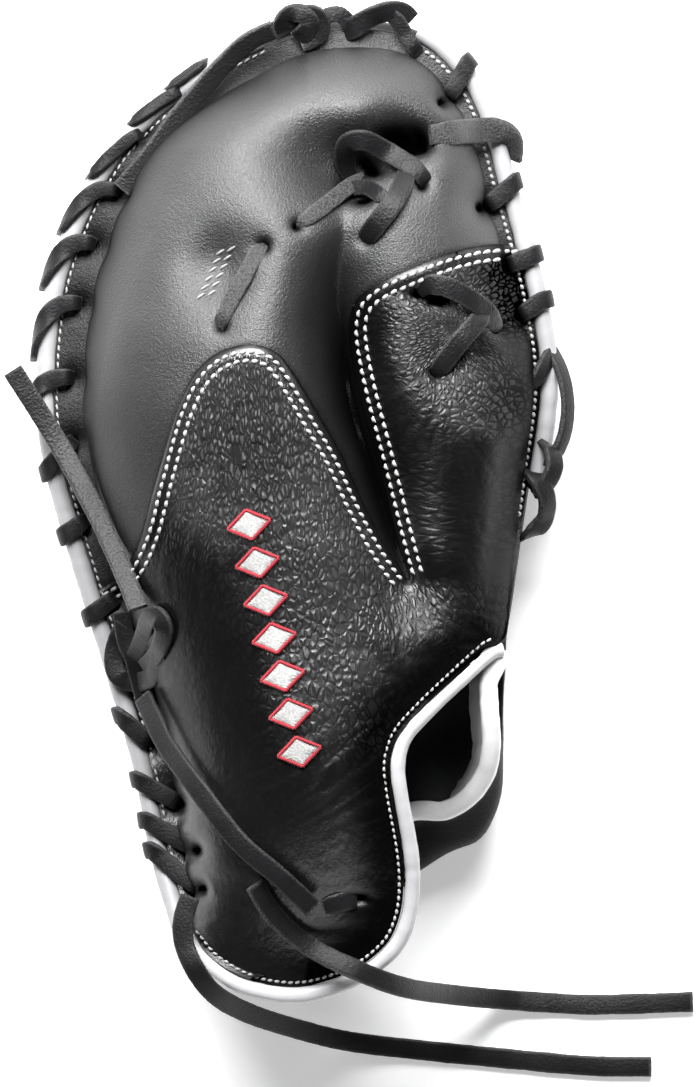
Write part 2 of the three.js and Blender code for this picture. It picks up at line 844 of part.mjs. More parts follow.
// Lacing on the back. Each strand lies on the leather with its ends turned down into their holes.
const strands = [];
function strand(name, rows, wide) {
  const route = rows.map(([across, along, up]) => new THREE.Vector3(widthOf(across), lengthOf(along), heightOf(up)));
  const steps = 2 * rows.length;
  strands.push({ name, body: sweep(route, wide, LACE_THICK, FLAT, steps) });
  cutters.push(sweep(route, wide + 2 * GAP, LACE_THICK + 2 * GAP, FLAT, steps));
}
BACK_LACES.forEach((rows, i) => strand("back_lace_" + (i + 1), rows, LACE_WIDTH));
strand("thumb_strap", THUMB_STRAP, STRAP_WIDTH);
strand("thumb_loop", THUMB_LOOP, LACE_WIDTH);
strand("heel_strand", HEEL_STRAND, LACE_WIDTH);
strands.forEach(({ name, body }) => place(name, body, LACE));

// Knots: rounded lumps with a strand wrapped over them.
function knot(name, [across, along, up, wide, long, high, turn]) {
  const lump = new THREE.SphereGeometry(0.5, 8, 6);
  lump.deleteAttribute("normal");
  lump.deleteAttribute("uv");
  lump.scale(wide, long, high);
  const [rx, rz] = [wide * 0.54, high * 0.56];
  const arch = [-80, -55, -25, 0, 25, 55, 80].map((a) => {
    const t = (a * Math.PI) / 180;
    return new THREE.Vector3(Math.sin(t) * rx, 0, Math.cos(t) * rz);
  });
  const wrap = sweep(arch, LACE_WIDTH, LACE_THICK, FLAT, 7, new THREE.Vector3(0, 1, 0));
  const arch2 = arch.map((p) => new THREE.Vector3(0, (p.x / rx) * long * 0.54, p.z * 0.9));
  const under = sweep(arch2, LACE_WIDTH, LACE_THICK, FLAT, 7, new THREE.Vector3(1, 0, 0));
  const turned = solidOf(lump).add(solidOf(wrap)).add(solidOf(under)).rotate([0, 0, turn]);
  const body = mainBody(turned).translate([widthOf(across), lengthOf(along), heightOf(up)]);
  knots.push({ name, body, tool: body.hull().translate([0, 0, GAP]).add(body.hull()) });
}
const knots = [];
knot("top_knot", TOP_KNOT);
knot("side_knot", SIDE_KNOT);
knot("thumb_knot", THUMB_KNOT);

// Loose tails of flat rawhide.
const tailBodies = [];
function tail(name, rows, steps) {
  const route = rows.map(([across, along, up]) => new THREE.Vector3(widthOf(across), lengthOf(along), heightOf(up)));
  tailBodies.push(solidOf(sweep(route, LACE_WIDTH + 2 * GAP, LACE_THICK + 2 * GAP, FLAT, steps)));
  place(name, sweep(route, LACE_WIDTH, LACE_THICK, FLAT, steps), LACE);
}
tail("top_tail", TOP_TAIL, 12);
tail("side_tail", SIDE_TAIL, 10);
tail("lower_tail", LOWER_TAIL, 12);
tail("heel_tail_upper", HEEL_TAIL_UPPER, 16);
tail("heel_tail_lower", HEEL_TAIL_LOWER, 18);

const cut = (solid, cutBy, least = 0.3) =>
  mainBody(cutBy.reduce((a, tool) => (a.intersect(tool).volume() > least ? a.subtract(tool) : a), solid));
const laceTools = cutters.map(solidOf);
const tools = [...laceTools, ...tailBodies, ...bindings.map((b) => b.tool)];
const knotTools = knots.map((k) => k.tool);
bindings.forEach(({ name, body }) => place(name, geometryFrom(cut(body, laceTools)), PALE));
knots.forEach(({ name, body }) => place(name, geometryFrom(cut(body, tools, 0)), LACE));
place("outer_shell", geometryFrom(cut(shell, [...tools, ...knotTools])), SMOOTH);
place("hand_back", geometryFrom(cut(panel, [...tools, ...knotTools])), TUMBLED);
place("palm_shell", geometryFrom(cut(palm, tools)), PALM);

const body = new THREE.Group();
mitt.children.filter((m) => !m.name.endsWith("_tail") && !m.name.startsWith("heel_tail")).forEach((m) => body.add(m.clone()));
const box = new THREE.Box3().setFromObject(body);
const centre = box.getCenter(new THREE.Vector3());
mitt.position.set(-centre.x, -centre.y, -box.min.z);

export default mitt;
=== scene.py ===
"""First baseman mitt, palm down: leather, padding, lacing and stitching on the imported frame. Metres, Z up."""

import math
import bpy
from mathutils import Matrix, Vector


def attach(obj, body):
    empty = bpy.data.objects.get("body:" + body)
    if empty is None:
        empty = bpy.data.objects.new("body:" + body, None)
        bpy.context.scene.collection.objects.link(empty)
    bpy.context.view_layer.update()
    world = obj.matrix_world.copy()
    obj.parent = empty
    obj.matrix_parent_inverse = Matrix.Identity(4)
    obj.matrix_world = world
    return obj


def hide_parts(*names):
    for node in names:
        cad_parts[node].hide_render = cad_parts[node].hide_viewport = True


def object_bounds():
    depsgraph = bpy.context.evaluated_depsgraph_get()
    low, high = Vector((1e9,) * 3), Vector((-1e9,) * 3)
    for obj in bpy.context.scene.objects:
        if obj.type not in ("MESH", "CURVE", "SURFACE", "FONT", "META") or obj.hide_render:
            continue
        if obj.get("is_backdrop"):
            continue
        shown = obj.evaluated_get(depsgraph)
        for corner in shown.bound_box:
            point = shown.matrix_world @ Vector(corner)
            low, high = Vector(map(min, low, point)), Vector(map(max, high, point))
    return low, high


bl_info = {
    "name": "First baseman mitt",
    "version": (1, 0, 0),
    "blender": (4, 5, 0),
    "location": "3D View > Sidebar > Mitt",
    "description": "Builds a laced leather first baseman mitt and its studio",
    "category": "Object",
}

import bmesh
import bpy
import numpy as np
from bpy.props import FloatProperty, FloatVectorProperty, PointerProperty
from mathutils import Vector
from mathutils.bvhtree import BVHTree

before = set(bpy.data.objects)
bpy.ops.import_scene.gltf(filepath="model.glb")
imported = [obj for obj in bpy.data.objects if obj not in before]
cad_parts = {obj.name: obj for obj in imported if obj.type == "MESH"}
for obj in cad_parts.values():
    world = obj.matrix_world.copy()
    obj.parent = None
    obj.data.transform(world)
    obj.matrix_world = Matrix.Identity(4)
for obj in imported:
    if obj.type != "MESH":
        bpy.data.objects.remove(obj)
CAD_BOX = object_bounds()

# Sizes of the solids, in metres. Tables hold thousandths of the width, the length and the height.
WIDTH, LENGTH, HEIGHT = 0.166, 0.305, 0.092
CORNER = (-0.084374, -0.151315)
SHELL, PANEL, GAP = 0.0022, 0.0018, 0.0003
FLANGE_WIDTH, FLANGE_RISE, ROLL_OUT = 0.009, 0.0012, 0.008
ROUND = 2.4
PIPING, PIPING_OUT, PIPING_UP = 0.0058, 0.003, 0.0008
BINDING_WIDE, BINDING_HIGH = 0.0056, 0.0064
# Distances from the panel's edge to its two rows of stitches.
OUTER_ROW, INNER_ROW = 0.0022, 0.0049
# Spacing of points along panel edges and laid laces, and along welts and bindings.
FINE, EVEN = 0.0007, 0.0009
# Fineness of the surfaces: middle rows, rows of each fan, columns of each side.
SMOOTH_GRID, TUMBLED_GRID, PALM_GRID, EVEN_GRID = (194, 38, 84), (250, 42, 104), (170, 40, 74), (120, 30, 60)
# Where the welts and bands start and end: across, along.
LEFT_WELT, THUMB_WELT = ([291, 71], [424, 958]), ([707, 968], [920, 529])
FLAP_BAND, PALM_BAND = ([860, 357], [296, 66]), ([872, 318], [606, 146])
# Height of the photograph in pixels, metres per pixel, and the camera's place.
PHOTO_HIGH, PHOTO_SCALE = 1087, 0.0003075
CAMERA, CAMERA_AIM_HEIGHT = (0.01307, -0.0125, 5.0), 0.045

# Seam line: across, along, height, flange, roll.
SEAM = [
    [291, 71, 430, 300, 200], [250, 146, 350, 600, 300], [219, 232, 310, 900, 450],
    [165, 333, 293, 1000, 500], [107, 433, 293, 1000, 500], [50, 544, 293, 1000, 500],
    [39, 625, 293, 1000, 500], [65, 731, 293, 1000, 500], [154, 837, 293, 900, 500],
    [294, 912, 293, 800, 500], [472, 965, 293, 700, 500], [615, 975, 293, 600, 500],
    [726, 958, 293, 500, 600], [813, 904, 293, 450, 800], [865, 811, 293, 450, 900],
    [917, 706, 293, 450, 900], [939, 615, 293, 450, 900], [913, 509, 293, 400, 700],
    [898, 450, 340, 350, 500], [884, 398, 450, 300, 350], [874, 362, 600, 200, 200],
]
# Free edge of the back flap: across, along, height.
FLAP_EDGE = [
    [837, 353, 650], [781, 326, 700], [717, 293, 745], [672, 265, 760], [657, 235, 760], [663, 202, 745],
    [680, 151, 690], [685, 116, 650], [678, 81, 620], [652, 52, 590], [587, 25, 560], [494, 10, 545],
    [402, 17, 530], [337, 38, 500], [302, 61, 455],
]
# Free edge of the palm at the wrist: across, along, height, roll.
PALM_EDGE = [
    [872, 330, 620, 150], [869, 286, 600, 150], [867, 248, 540, 200], [856, 220, 470, 400],
    [820, 192, 380, 900], [769, 176, 310, 1500], [700, 174, 280, 1900], [606, 146, 270, 1900],
    [476, 111, 270, 1900], [365, 84, 300, 1200],
]
# Middle lines: across, along.
BACK_SPINE = [
    [528, 136], [596, 257], [652, 348], [683, 421], [657, 479], [624, 539], [596, 590], [574, 655],
    [569, 716], [569, 852],
]
PALM_SPINE = [[550, 257], [504, 398], [487, 600], [494, 852]]
# Crown of the back: along, then across and height of the finger crest, the slot and the thumb crest.
CROWN = [
    [5, 494, 609, 624, 587, 698, 565], [116, 485, 761, 643, 717, 717, 696],
    [197, 467, 870, 661, 804, 735, 783], [277, 448, 935, 680, 848, 754, 815],
    [358, 435, 967, 698, 826, 772, 826], [421, 424, 989, 691, 720, 781, 826],
    [469, 411, 1000, 661, 590, 776, 826], [529, 398, 1000, 628, 543, 772, 826],
    [590, 383, 1000, 591, 533, 763, 826], [655, 374, 978, 574, 543, 754, 826],
    [711, 374, 946, 565, 652, 754, 815], [771, 383, 913, 578, 760, 754, 804],
    [842, 420, 848, 587, 760, 735, 760], [902, 457, 760, 587, 739, 717, 696],
    [973, 494, 565, 578, 565, 680, 543],
]
# Dents where laces pull the leather in: across, along, radius (of the width), depth (of the height).
DENTS = [
    [560, 835, 90, 90], [345, 732, 70, 75], [490, 850, 90, 50], [680, 862, 65, 90], [846, 796, 50, 60],
    [756, 640, 50, 50],
]
# Palm along its middle line: along, pocket ceiling, cavity floor.
PALM_RISE = [
    [100, 0, 250], [257, 0, 260], [330, 130, 320], [398, 260, 400], [500, 350, 465], [600, 360, 475],
    [740, 330, 450], [852, 240, 380], [973, 100, 300],
]
# Underside of the palm, middle to seam:
# place, share of the pocket, stand-out of the roll, share of the seam height.
UNDERSIDE = [
    [0, 1000, 0, 0], [200, 960, 0, 0], [400, 800, 0, 0], [580, 400, 0, 0], [720, 0, 0, 0], [850, 0, 0, 0],
    [930, 0, 300, 30], [1000, 0, 800, 180], [1000, 0, 1000, 430], [1000, 0, 850, 740], [1000, 0, 120, 880],
]
UPPERSIDE = [0, 200, 400, 580, 720, 800, 860, 910, 950, 980, 1000]
# Edge of the tumbled panel round the finger lobe, and round the thumb lobe: across, along.
FINGER_EDGE = [
    [119, 408], [170, 428], [204, 464], [226, 509], [246, 549], [269, 590], [302, 625], [346, 646],
    [402, 654], [450, 646], [485, 622], [528, 582], [569, 544], [609, 497], [652, 453], [693, 421],
]
THUMB_EDGE = [
    [693, 421], [672, 464], [652, 509], [631, 554], [611, 595], [593, 640], [587, 675], [600, 699],
    [639, 717], [698, 732], [772, 747], [846, 756], [920, 758],
]
# Stitches of rawhide over the piping: hole across, hole along, outer point across, outer point along.
EDGE_LACES = [
    [319, 943, 254, 917], [272, 912, 185, 882], [198, 869, 109, 829], [157, 811, 54, 776],
    [109, 758, 19, 721], [83, 698, -2, 650], [69, 623, 4, 605], [72, 559, 6, 519], [96, 479, 31, 454],
    [152, 401, 81, 373], [217, 252, 156, 282], [272, 192, 189, 217], [300, 146, 207, 176],
    [309, 106, 217, 146],
]
THUMB_LACES = [
    [769, 905, 809, 943], [841, 796, 898, 822], [880, 736, 948, 751], [902, 685, 943, 701],
]
# Strands: across, along, then lift above the leather in tenths of a millimetre.
CROSS_LOOP = [
    [591, 820, -25], [578, 838, 15], [581, 856, 45], [613, 860, 62], [657, 848, 64], [696, 835, 46],
    [719, 824, 10], [726, 817, -25],
]
CROSS_STRAND = [
    [691, 828, 10], [681, 811, 30], [663, 794, 35], [639, 777, 24], [622, 765, 0], [615, 758, -30],
]
TONGUE = [[580, 809, -20], [596, 812, 6], [619, 812, 14], [643, 804, 8], [657, 796, -15]]
FLESH_RIGHT = [
    [613, 823, -25], [591, 816, 6], [552, 799, 16], [519, 785, 11], [502, 778, -6], [493, 773, -30],
]
FLESH_LEFT = [[426, 754, -30], [415, 745, -4], [396, 725, 15], [374, 703, 14], [356, 683, 3], [346, 672, -25]]
THUMB_ARCH = [
    [715, 709, -20], [737, 715, 20], [772, 711, 40], [809, 700, 42], [839, 688, 28], [852, 677, 3],
    [856, 670, -25],
]
THUMB_STRAND = [[833, 690, 8], [822, 678, 28], [796, 662, 32], [770, 644, 22], [754, 632, 0], [746, 625, -30]]
THUMB_STRAP = [
    [735, 866, 26], [781, 869, 34], [824, 872, 38], [856, 873, 38], [878, 868, 24], [889, 858, -5],
    [891, 845, -40],
]
HEEL_STRAND = [[540, 91, 4], [556, 93, 10], [576, 96, 8], [596, 98, -12]]
TOP_HOOK = [[524, 979, 0], [543, 988, 22], [567, 990, 24], [587, 981, 10], [594, 973, -20]]
TOP_STRAP = [[578, 973, -15], [594, 977, 20], [624, 987, 36], [657, 993, 40], [683, 992, 26], [698, 985, 0]]
TOP_END = [[657, 994, 26], [674, 984, 32], [689, 971, 24], [704, 958, -2], [711, 952, -25]]
# Knots, as the strands above.
TOP_WRAP = [
    [466, 969, 0], [462, 981, 26], [477, 990, 42], [499, 990, 50], [513, 981, 46], [502, 971, 34],
    [489, 965, 10],
]
TOP_TURN = [[493, 982, 36], [509, 990, 46], [527, 987, 38], [533, 976, 26], [521, 967, 12], [496, 961, -5]]
TOP_CORE = [[444, 972, 6], [466, 979, 16], [494, 982, 20], [520, 979, 12], [538, 974, -10]]
SIDE_WRAP = [
    [183, 332, 14], [202, 356, 36], [215, 378, 44], [233, 382, 42], [244, 367, 36], [233, 346, 28],
    [209, 330, 24],
]
SIDE_TURN = [
    [237, 346, 16], [224, 323, 26], [191, 315, 28], [157, 321, 20], [148, 340, 12], [156, 358, 14],
    [170, 374, 16],
]
SIDE_CORE = [[165, 386, 4], [172, 358, 16], [187, 338, 22], [198, 314, 12], [208, 294, 4]]
# Lace at the thumb side: across, along, height.
THUMB_LOOP = [
    [960, 652, 300], [980, 630, 320], [991, 602, 330], [989, 575, 330], [976, 552, 320], [952, 534, 300],
]
THUMB_CROSS = [[966, 652, 290], [948, 635, 352], [932, 620, 366], [916, 606, 340]]
THUMB_WRAP = [
    [948, 556, 300], [962, 548, 352], [966, 532, 372], [952, 516, 360], [932, 510, 320], [922, 520, 260],
]
THUMB_TURN = [
    [915, 526, 330], [935, 520, 380], [952, 502, 370], [950, 482, 330], [930, 468, 300], [908, 462, 240],
]
# Lace holes of the back: across, along, then radii across and along and depth in tenths of a millimetre.
HOLES = [
    [583, 822, 26, 40, 45], [618, 838, 56, 26, 55], [606, 806, 34, 22, 30], [725, 818, 18, 18, 30],
    [616, 760, 22, 18, 28], [495, 775, 20, 18, 25], [690, 862, 60, 24, 65], [722, 866, 40, 26, 55],
    [425, 753, 20, 20, 35], [348, 673, 18, 18, 25], [722, 706, 40, 16, 40], [752, 698, 40, 16, 30],
    [855, 672, 18, 20, 25], [748, 627, 22, 18, 28], [600, 98, 36, 14, 25],
]
# Places where the tumbled leather is wrinkled most: across, along, radii, strength.
GRAINY = [
    [410, 560, 190, 110, 1000], [560, 440, 190, 110, 580], [790, 712, 150, 50, 600],
    [735, 660, 75, 45, 750], [800, 604, 80, 44, 620], [540, 322, 110, 80, 600], [720, 398, 90, 40, 400],
]
# Generic embroidery: centre of the first and the last motif, then half sizes across and along.
MOTIFS = [[402, 474], [494, 247]]
MOTIF_COUNT = 7
MOTIF_SIZE = [40, 15]
# Loose tails from knot or hole to cut tip: across, along, height.
TOP_TAIL = [
    [446, 974, 430], [400, 962, 420], [356, 941, 400], [309, 912, 395], [263, 882, 395], [217, 847, 395],
    [163, 813, 385],
]
SIDE_TAIL = [
    [196, 390, 700], [170, 425, 640], [124, 479, 540], [80, 524, 460], [31, 570, 420], [-39, 630, 430],
]
LOWER_TAIL = [
    [204, 300, 500], [222, 280, 560], [250, 250, 640], [309, 207, 760], [383, 156, 815], [457, 121, 815],
    [519, 89, 770],
]
HEEL_TAIL_UPPER = [
    [411, 113, 775], [448, 81, 735], [513, 50, 690], [606, 25, 700], [690, 8, 590], [780, -2, 260],
    [865, -8, 60], [960, -12, 16], [1050, -14, 14], [1228, -11, 14],
]
HEEL_TAIL_LOWER = [
    [292, 100, 610], [279, 78, 615], [281, 52, 620], [303, 25, 630], [340, 0, 570], [402, -20, 390],
    [494, -38, 180], [587, -51, 60], [717, -60, 14], [865, -68, 14], [1031, -76, 14], [1150, -77, 14],
]


# Curves and tables


def plan(rows):
    """Table rows of thousandths to metres."""
    v = np.asarray(rows, float) / 1000
    made = v.copy()
    made[:, 0] = v[:, 0] * WIDTH + CORNER[0]
    made[:, 1] = v[:, 1] * LENGTH + CORNER[1]
    if v.shape[1] > 2:
        made[:, 2] = v[:, 2] * HEIGHT
    return made


def rows_at(rows, place, closed=False):
    """Smooth curve through the rows of a table, at places counted in rows."""
    rows = np.asarray(rows, float)
    place = np.asarray(place, float)
    n = len(rows)
    i = np.floor(place).astype(int)
    if not closed:
        i = np.clip(i, 0, n - 2)
    f = (place - i)[:, None]
    a, b, c, d = (rows[k % n if closed else np.clip(k, 0, n - 1)] for k in (i - 1, i, i + 1, i + 2))
    cubic = 3 * b - a - 3 * c + d
    return 0.5 * (2 * b + (c - a) * f + (2 * a - 5 * b + 4 * c - d) * f**2 + cubic * f**3)


def read_at(rows, value):
    """Rows of a table read at values of the first column."""
    rows = np.asarray(rows, float)
    value = np.atleast_1d(np.asarray(value, float))
    i = np.clip(np.searchsorted(rows[:, 0], value, side="right") - 1, 0, len(rows) - 2)
    f = np.clip((value - rows[i, 0]) / (rows[i + 1, 0] - rows[i, 0]), 0, 1)
    return rows_at(rows, i + f)


def along_line(points, step):
    """Points at even steps along a polyline."""
    points = np.asarray(points, float)
    run = np.r_[0, np.cumsum(np.linalg.norm(np.diff(points, axis=0), axis=1))]
    count = max(2, int(round(run[-1] / step)) + 1)
    at = np.linspace(0, run[-1], count)
    return np.stack([np.interp(at, run, points[:, k]) for k in range(points.shape[1])], 1)


def smooth_line(points, step):
    """Even points on a smooth curve through the given ones."""
    points = np.asarray(points, float)
    fine = rows_at(points, np.linspace(0, len(points) - 1, 24 * len(points)))
    return along_line(fine, step)


def unit(rows):
    return rows / np.maximum(np.linalg.norm(rows, axis=1), 1e-12)[:, None]


def tangents(points):
    return unit(np.gradient(points, axis=0))


def level_side(line):
    """Level directions to the right of a line."""
    t = tangents(line)
    return unit(np.stack([t[:, 1], -t[:, 0], np.zeros(len(t))], 1))


def beside(points, out):
    """A plan curve moved to its right by a distance."""
    t = tangents(points[:, :2])
    made = points.copy()
    made[:, 0] += t[:, 1] * out
    made[:, 1] -= t[:, 0] * out
    return made


def smoothstep(low, high, value):
    t = np.clip((value - low) / (high - low), 0, 1)
    return t * t * (3 - 2 * t)


def lattice(ix, iy, seed):
    h = (ix * 374761393 + iy * 668265263 + seed * 974634777) & 0xFFFFFFFF
    h = ((h ^ (h >> 13)) * 1274126177) & 0xFFFFFFFF
    return ((h ^ (h >> 16)) & 0xFFFF) / 32767.5 - 1


def ripple(x, y, seed=1):
    """Smooth value noise from -1 to 1 on a unit lattice."""
    ix, iy = np.floor(x).astype(np.int64), np.floor(y).astype(np.int64)
    fx, fy = x - ix, y - iy
    u, v = fx**3 * (fx * (6 * fx - 15) + 10), fy**3 * (fy * (6 * fy - 15) + 10)
    low = lattice(ix, iy, seed) * (1 - u) + lattice(ix + 1, iy, seed) * u
    high = lattice(ix, iy + 1, seed) * (1 - u) + lattice(ix + 1, iy + 1, seed) * u
    return low * (1 - v) + high * v


def wobble(run, wave, seed, row=0.0):
    """Ripple along a line, from -1 to 1, at a wave length."""
    return ripple(run / wave, run * 0 + row, seed)


def distance_to(points, line):
    """Distance on the plan from points to a polyline, and the nearest points on it."""
    best = np.full(len(points), np.inf)
    where = np.zeros((len(points), 2))
    a, b = line[:-1, :2], line[1:, :2]
    ab = b - a
    size = np.maximum((ab**2).sum(1), 1e-18)
    for start in range(0, len(points), 6000):
        p = points[start : start + 6000, None, :2]
        t = np.clip(((p - a) * ab).sum(2) / size, 0, 1)
        q = a + ab * t[..., None]
        d = np.hypot(*np.moveaxis(p - q, 2, 0))
        k = d.argmin(1)
        rows = np.arange(len(k))
        best[start : start + 6000] = d[rows, k]
        where[start : start + 6000] = q[rows, k]
    return best, where


def inside(points, polygon):
    """Whether plan points lie inside a polygon."""
    x, y = points[:, 0], points[:, 1]
    made = np.zeros(len(points), bool)
    for (x0, y0), (x1, y1) in zip(polygon, np.roll(polygon, -1, axis=0)):
        cross = (y0 > y) != (y1 > y)
        made ^= cross & (x < (x1 - x0) * (y - y0) / (y1 - y0 if y1 != y0 else 1e-12) + x0)
    return made


# The form of the mitt


class Outline:
    """Closed outline with columns x, y, seam height, flange, roll and free, in metres and shares."""

    def __init__(self, edge_rows):
        rows = [r + [0] for r in SEAM]
        rows += [[r[0], r[1], r[2], 0, r[3] if len(r) > 3 else 0, 1] for r in edge_rows]
        v = rows_at(rows, np.arange(len(rows) * 24) / 24, True)
        shares = np.clip(v[:, 3:5] / 1000, 0, None)
        self.data = np.column_stack([plan(v[:, :3]), shares, np.clip(v[:, 5], 0, 1)])
        t = np.roll(self.data[:, :2], -1, axis=0) - np.roll(self.data[:, :2], 1, axis=0)
        t = unit(t)
        self.out = np.stack([-t[:, 1], t[:, 0]], 1)

    def nearest(self, x, y):
        return int(np.hypot(self.data[:, 0] - x, self.data[:, 1] - y).argmin())

    def stretch(self, start, end):
        """Sample numbers from one plan point to another, the way round of the tables."""
        n = len(self.data)
        (ax, ay), (bx, by) = plan([start, end])[:, :2]
        a, b = self.nearest(ax, ay), self.nearest(bx, by)
        return np.arange(a, b + (n if b < a else 0) + 1) % n

    def line(self, start, end, out=0.0, up=0.0):
        k = self.stretch(start, end)
        xy = self.data[k, :2] + self.out[k] * out
        return np.column_stack([xy, self.data[k, 2] + up])


def stations(outline, low, spine, middle_rows, fan_rows):
    """Left edge, right edge and middle point of each row, heel to tip."""
    data = outline.data
    n = len(data)
    tip = int(data[:, 1].argmax())
    left = np.arange(low, tip + n + 1) % n
    right = np.arange(low, tip - 1, -1) % n
    chains = []
    for picked in (left, right):
        rows = data[picked]
        run = np.r_[0, np.cumsum(np.linalg.norm(np.diff(rows[:, :2], axis=0), axis=1))]
        chains.append((rows, run))
    spine = np.asarray(spine, float)
    alongs = np.linspace(spine[0, 1], spine[-1, 1], middle_rows)
    middles = read_at(spine[:, ::-1], alongs)[:, ::-1]
    middles[:, 1] = alongs
    heel_t = np.linspace(0, 1, fan_rows, endpoint=False)
    tip_t = np.linspace(0, 1, fan_rows + 1)[1:]
    edges = []
    for rows, run in chains:
        at = []
        for y in plan(middles)[:, 1]:
            i = np.nonzero((rows[:-1, 1] <= y) & (rows[1:, 1] > y))[0][-1]
            t = (y - rows[i, 1]) / (rows[i + 1, 1] - rows[i, 1])
            at.append(run[i] + t * (run[i + 1] - run[i]))
        where = np.r_[heel_t * at[0], at, at[-1] + tip_t * (run[-1] - at[-1])]
        edges.append(np.stack([np.interp(where, run, rows[:, k]) for k in range(rows.shape[1])], 1))
    middle = np.r_[np.repeat(middles[:1], fan_rows, 0), middles, np.repeat(middles[-1:], fan_rows, 0)]
    return edges[0], edges[1], plan(middle)


def crown(x, y):
    """Height of the crown of the back over plan points."""
    shape = x.shape
    x, y = x.ravel(), y.ravel()
    r = read_at(CROWN, (y - CORNER[1]) / LENGTH * 1000)
    finger, slot, thumb = (r[:, k] / 1000 * WIDTH + CORNER[0] for k in (1, 3, 5))
    left = x < slot
    crest = np.where(left, r[:, 2], r[:, 6]) / 1000 * HEIGHT
    reach = np.where(left, slot - finger, thumb - slot)
    share = (y - CORNER[1]) / LENGTH
    soft = 0.0012 + 0.013 * (smoothstep(0.76, 0.88, share) + 1 - smoothstep(0.36, 0.46, share))
    t = np.minimum(1, (np.sqrt((x - slot) ** 2 + soft**2) - soft * 0.999) / reach)
    low = r[:, 4] / 1000 * HEIGHT
    return (low + (crest - low) * (1 - (1 - t) ** 3)).reshape(shape)


def dent(x, y):
    total = np.zeros_like(x)
    for across, along, radius, depth in DENTS:
        (cx, cy), size = plan([[across, along]])[0], radius / 1000 * WIDTH
        total += depth / 1000 * HEIGHT * np.exp(-((x - cx) ** 2 + (y - cy) ** 2) / size**2)
    return total


def back_grid(middle_rows, fan_rows, across):
    """Outer face of the smooth back as a grid, heel to tip and left to right."""
    low = int(np.where(BACK.data[:, 5] > 0.5, BACK.data[:, 1], np.inf).argmin())
    left, right, middle = stations(BACK, low, BACK_SPINE, middle_rows, fan_rows)
    t = np.linspace(0, 1, across)
    c = np.r_[0.45 * t + 0.55 * np.sin(t * np.pi / 2), 1 + np.linspace(0, 1, 9)[1:]]
    dome = c <= 1
    sides = []
    weights = np.exp(-((np.arange(-30, 31) / 13.0) ** 2))
    weights /= weights.sum()
    for edge in (left, right):
        edge[:, 5] = np.convolve(np.pad(edge[:, 5], 30, mode="edge"), weights, mode="valid")
        ray = np.linalg.norm(edge[:, :2] - middle, axis=1)
        flange = np.maximum(edge[:, 3], 0.12)
        band = np.minimum(0.35, flange * FLANGE_WIDTH / ray)[:, None]
        q = np.where(dome, c * (1 - band), 1 - band + (c - 1) * band)
        x = middle[:, :1] + (edge[:, :1] - middle[:, :1]) * q
        y = middle[:, 1:] + (edge[:, 1:2] - middle[:, 1:]) * q
        rim = (edge[:, 2] + GAP + SHELL)[:, None]
        crease = rim + FLANGE_RISE * flange[:, None]
        swell = np.clip(1 - np.minimum(c, 1) ** ROUND, 0, 1) ** (1 / ROUND)
        soft = 1 - np.minimum(c, 1) ** 2
        lift = swell * (1 - edge[:, 5:]) + soft * edge[:, 5:]
        z = crease + (crown(x, y) - dent(x, y) - crease) * lift
        z = np.where(dome, z, crease + (rim - crease) * np.maximum(c - 1, 0))
        sides.append(np.stack([x, y, z], 2))
    return np.concatenate([sides[0][:, ::-1], sides[1][:, 1:]], 1)


def palm_grids(middle_rows, fan_rows, across):
    """Lower and upper face of the padded palm as grids."""
    lx, ly = plan([[420, 96]])[0]
    left, right, middle = stations(PALM, PALM.nearest(lx, ly), PALM_SPINE, middle_rows, fan_rows)
    place = np.linspace(0, len(UNDERSIDE) - 1, across)
    under = rows_at(UNDERSIDE, place) / 1000
    upper = np.interp(place, np.arange(len(UPPERSIDE)), UPPERSIDE) / 1000
    rise = read_at(PALM_RISE, (middle[:, 1] - CORNER[1]) / LENGTH * 1000) / 1000 * HEIGHT
    lower_sides, upper_sides = [], []
    for edge in (left, right):
        reach = edge[:, :2] - middle
        ray = np.linalg.norm(reach, axis=1)[:, None]
        out = reach / ray
        share = np.minimum(under[:, 0], 1)[None, :, None]
        share_y = (edge[:, 1:2] - CORNER[1]) / LENGTH
        tuck = smoothstep(0.2, 0.3, share_y) * (1 - smoothstep(0.5, 0.62, share_y)) * (edge[:, :1] > 0)
        roll = edge[:, 4:5] * ROLL_OUT * (0.78 + 0.22 * edge[:, 5:]) * (1 - 0.8 * tuck)
        stand = (np.maximum(under[:, 2], 0)[None, :] * roll)[..., None]
        xy = middle[:, None, :] + reach[:, None, :] * share + out[:, None, :] * stand
        z = rise[:, 1:2] * np.maximum(under[:, 1], 0) + edge[:, 2:3] * np.maximum(under[:, 3], 0)
        lower_sides.append(np.dstack([xy, z]))
        band = np.minimum(0.35, edge[:, 3:4] * FLANGE_WIDTH / ray)
        d = np.minimum(1, upper[None, :] / (1 - band))
        steep = np.clip((edge[:, 2] - 0.3 * HEIGHT) / (0.2 * HEIGHT), 0, 1)
        level = (2.5 + 7.5 * np.maximum(edge[:, 5], steep))[:, None]
        brim = edge[:, 2:3] - GAP
        z = brim + (rise[:, 2:3] - brim) * (1 - d**level)
        xy = middle[:, None, :] + reach[:, None, :] * upper[None, :, None]
        upper_sides.append(np.dstack([xy, z]))
    return [np.concatenate([s[0][:, ::-1], s[1][:, 1:]], 1) for s in (lower_sides, upper_sides)]


BACK = Outline(FLAP_EDGE)
PALM = Outline(PALM_EDGE)
RIM_HOLES = plan([row[:2] for row in EDGE_LACES + THUMB_LACES])


# Meshes


def new_object(name, points, faces):
    mesh = bpy.data.meshes.new(name)
    mesh.from_pydata([tuple(map(float, p)) for p in points], [], [tuple(map(int, f)) for f in faces])
    mesh.update()
    made = bpy.data.objects.new(name, mesh)
    bpy.context.collection.objects.link(made)
    return made


